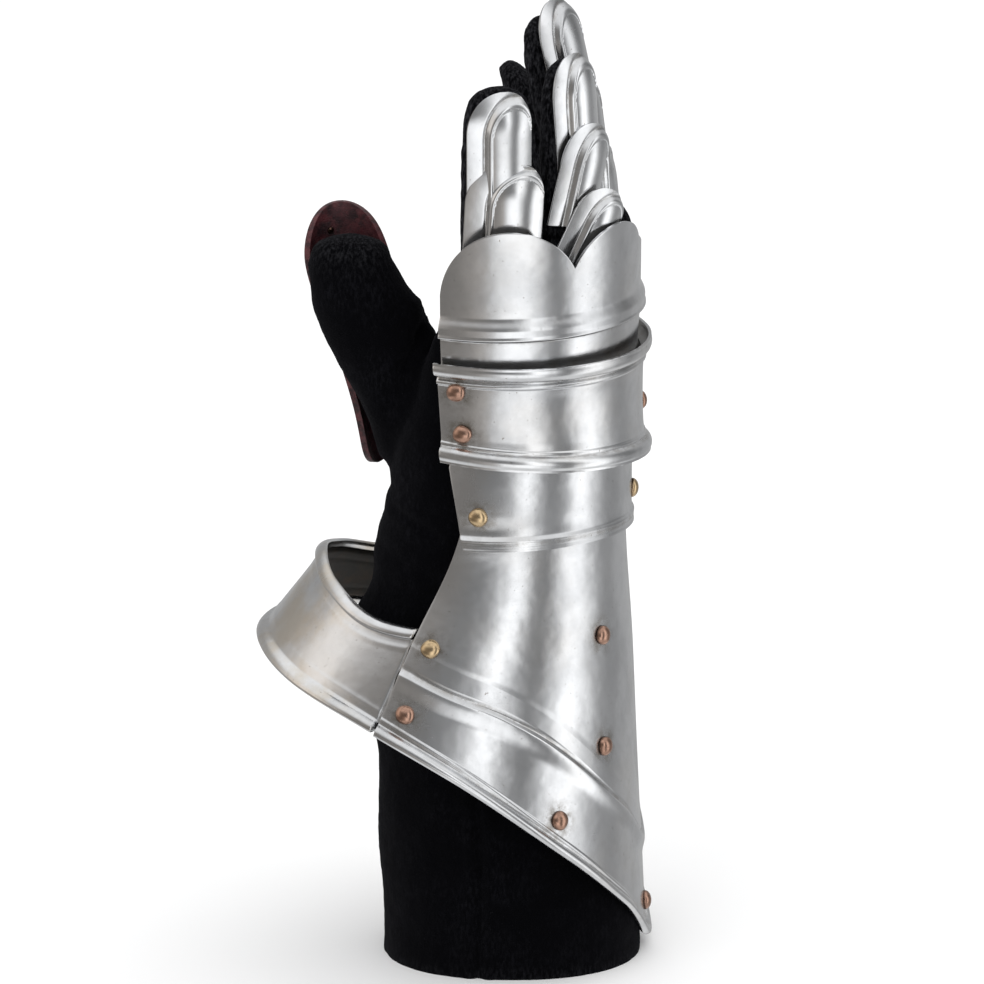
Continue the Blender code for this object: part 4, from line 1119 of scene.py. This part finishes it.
# shares of a lame's half width are counted from its middle; its panel is set towards the outer side
lameShape = dict(
    sheet=0.0010, columns=72, rows=84, pattern=0.0130, edge=0.0050, ridge=0.0022,
    round=0.38, power=2.3, flatTop=0.012, facingAt=0.4,
    panelMiddle=0.38, panelHalf=0.80, panelTop=0.935, panelRound=0.38, panelPower=2.2,
    panelRise=0.0006, panelDome=0.0026, rib=0.0007,
)
lames = namedRows("node z wide tall off lean drop skew turned shift tilt", (
    ("index_lame_tip", 0.3205, 0.0132, 0.045, 0.0015, 0.5, 0.0036, 0.20, 6.0, -0.0016, 0.0),
    ("index_lame_low", 0.292, 0.0157, 0.045, 0.0012, 2.0, 0.0014, 0.20, 6.0, 0.0008, 3.0),
    ("middle_lame_tip", 0.331, 0.0118, 0.045, 0.0017, 1.0, 0.0036, 0.10, 0.0, -0.0008, -5.0),
    ("middle_lame_mid", 0.3065, 0.0122, 0.042, 0.0018, 6.0, 0.0014, 0.10, 0.0, -0.0002, 13.0),
    ("middle_lame_low", 0.2865, 0.0124, 0.0365, 0.0030, 12.0, 0.0014, 0.10, 0.0, 0.0018, 25.0),
    ("ring_lame_tip", 0.347, 0.0120, 0.045, 0.0019, 1.0, 0.0036, 0.16, 0.0, 0.0014, -1.0),
    ("ring_lame_mid", 0.319, 0.0112, 0.044, 0.0042, 6.0, 0.0014, 0.10, 0.0, -0.0008, 0.0),
    ("ring_lame_low", 0.2915, 0.0116, 0.044, 0.0037, 7.0, 0.0014, 0.10, 0.0, -0.0008, 0.0),
    ("little_lame_tip", 0.315, 0.0106, 0.042, 0.0023, 1.0, 0.0036, 0.10, 0.0, -0.0008, 0.0),
    ("little_lame_low", 0.290, 0.0112, 0.042, 0.0038, 4.5, 0.0014, 0.10, 0.0, -0.0008, 0.0),
))


# how far into its rounded end a level is: 0 where the round starts, 1 at top
def intoRound(level, top, reach):
    return max(0.0, (level - top + reach) / reach)


# half the width left at a level, as a share
def lameHalfWidth(level):
    x = intoRound(level, 1.0, lameShape["round"])
    return max(lameShape["flatTop"], 1.0 - x ** lameShape["power"]) ** (1.0 / lameShape["power"])


# how far out a point of a lame stands: a flat flange, then an arched and domed panel with a rib round it
def lameStand(row, side, level, narrowed):
    s = lameShape
    x = side * narrowed
    flange = s["edge"] + s["ridge"] * (1.0 - x * x)
    top = intoRound(level, s["panelTop"], s["panelRound"])
    reach = (abs((x - s["panelMiddle"]) / s["panelHalf"]) ** s["panelPower"] + top ** s["panelPower"])
    reach = reach ** (1.0 / s["panelPower"])
    off = (reach - 1.0) * s["panelHalf"] * row["wide"]   # metres outside the panel
    panel = s["panelDome"] * max(0.0, 1.0 - reach * reach) + s["panelRise"] * smooth(-off / 0.0010)
    panel += bead(off, -0.0010, 0.0011, s["rib"]) - swell(off, 0.0006, 0.0005, 0.0004)
    return flange + panel - row["drop"] * intoRound(level, 1.0, s["round"]) ** 2.6, off


def fingerLame(row):
    s = lameShape
    words = row["node"].split("_")
    finger = fingers[words[0]]
    foot, tip = fingerAxis(finger, 0.0), fingerAxis(finger, 1.0)
    facingZ = row["z"] + s["facingAt"] * row["tall"]
    back = around(fingerFacing(finger, (facingZ - foot.z) / (tip.z - foot.z)) + row["turned"])
    across = Vector((-back.y, back.x, 0.0))
    rise = (tip - foot).normalized()
    base = foot.lerp(tip, (row["z"] - foot.z) / (tip.z - foot.z)) + across * row["shift"]
    lean = math.tan(math.radians(row["lean"]))
    tilt = math.radians(row["tilt"])
    middle = 0.5 * row["tall"]
    scale = row["wide"] / s["pattern"]
    rows = []
    for i in range(s["rows"] + 1):
        level = 1.0 - (1.0 - i / s["rows"]) ** 1.5
        height = row["tall"] * level
        narrowed = lameHalfWidth(level)
        over = intoRound(level, 1.0, s["round"])
        line, shadeAndGrime = [], []
        for side in spread(-1.0, 1.0, s["columns"]):
            stand, off = lameStand(row, side, level, narrowed)
            stand = scale * stand + row["off"] + height * lean
            x = row["wide"] * (side * narrowed + row["skew"] * over * over)
            h = height - middle
            line.append(base + rise * (middle + h * math.cos(tilt) - x * math.sin(tilt))
                        + across * (x * math.cos(tilt) + h * math.sin(tilt)) + back * stand)
            # painted shade in the groove round the panel
            shadeAndGrime.append(swell(off, 0.0007, 0.0006, 0.60))
        rows.append((line, shadeAndGrime))
    return sheetPiece(words[0] + words[2].capitalize() + "Lame", rows, s["sheet"], steel)


for row in lames:
    fit(fingerLame(row), "glove", "steel", row["node"])
print("finger lames set")


# rivets

def rivetPiece(row, seed):
    small = rivetShape["small"] if row["on"] == "guard" else 1.0
    head, rise, shank = (rivetShape[k] * small for k in ("head", "rise", "shank"))
    seat = rivetShape["seat"]
    profile = [(head * math.sin(a), seat + rise * math.cos(a))
               for a in spread(0.14, 0.5 * math.pi, rivetShape["dome"])]
    profile += [(head * 0.985, seat * 0.4), (head * 0.93, 0.00005), (shank, 0.00005), (shank, -row["reach"]),
                (shank * 1.7, -row["reach"]), (shank * 1.2, -row["reach"] - 0.0007 * small)]
    draw = random.Random(seed)
    lumps = [(draw.uniform(0.0, 2.0 * math.pi), draw.uniform(0.02, 0.05)) for _ in range(3)]
    mesh = bmesh.new()
    rings, dark = [], []
    for radius, z in profile:
        ring = []
        for i in range(rivetShape["sides"]):
            a = 2.0 * math.pi * i / rivetShape["sides"]
            wobble = 1.0 + sum(size * math.cos((k + 2) * a + at) for k, (at, size) in enumerate(lumps)) * 0.5
            wobble = wobble if z > 0.0 else 1.0
            ring.append(mesh.verts.new((radius * wobble * math.cos(a), radius * wobble * math.sin(a), z)))
            # painted shade: the head darkens towards its foot, where it meets the plate
            dark.append(smooth(1.0 - (z - 0.0001) / (0.0011 * small)))
        rings.append(ring)
    top = mesh.verts.new((0.0, 0.0, seat + rise))
    foot = mesh.verts.new((0.0, 0.0, profile[-1][1] - 0.0001))
    dark += [0.0, 1.0]
    for i in range(rivetShape["sides"]):
        k = (i + 1) % rivetShape["sides"]
        mesh.faces.new((top, rings[0][i], rings[0][k]))
        mesh.faces.new((foot, rings[-1][k], rings[-1][i]))
        for upper, lower in zip(rings, rings[1:]):
            mesh.faces.new((upper[i], lower[i], lower[k], upper[k]))
    place, axis = rivetFrame(row)
    mesh.transform(Matrix.Translation(place) @ axis.to_track_quat("Z", "Y").to_matrix().to_4x4())
    made = finishedMesh("rivet", mesh)
    markPoints(made, "grime", dark)
    words = row["node"].split("_")
    name = words[0] + "".join(word.capitalize() for word in words[1:]) + "Head"
    return linkPiece(name, made, brass if row["metal"] == "brassy" else copper)


for seed, row in enumerate(rivetPlaces):
    fit(rivetPiece(row, seed), rivetBody[row["on"]], "copper", row["node"])
print("rivets peened")
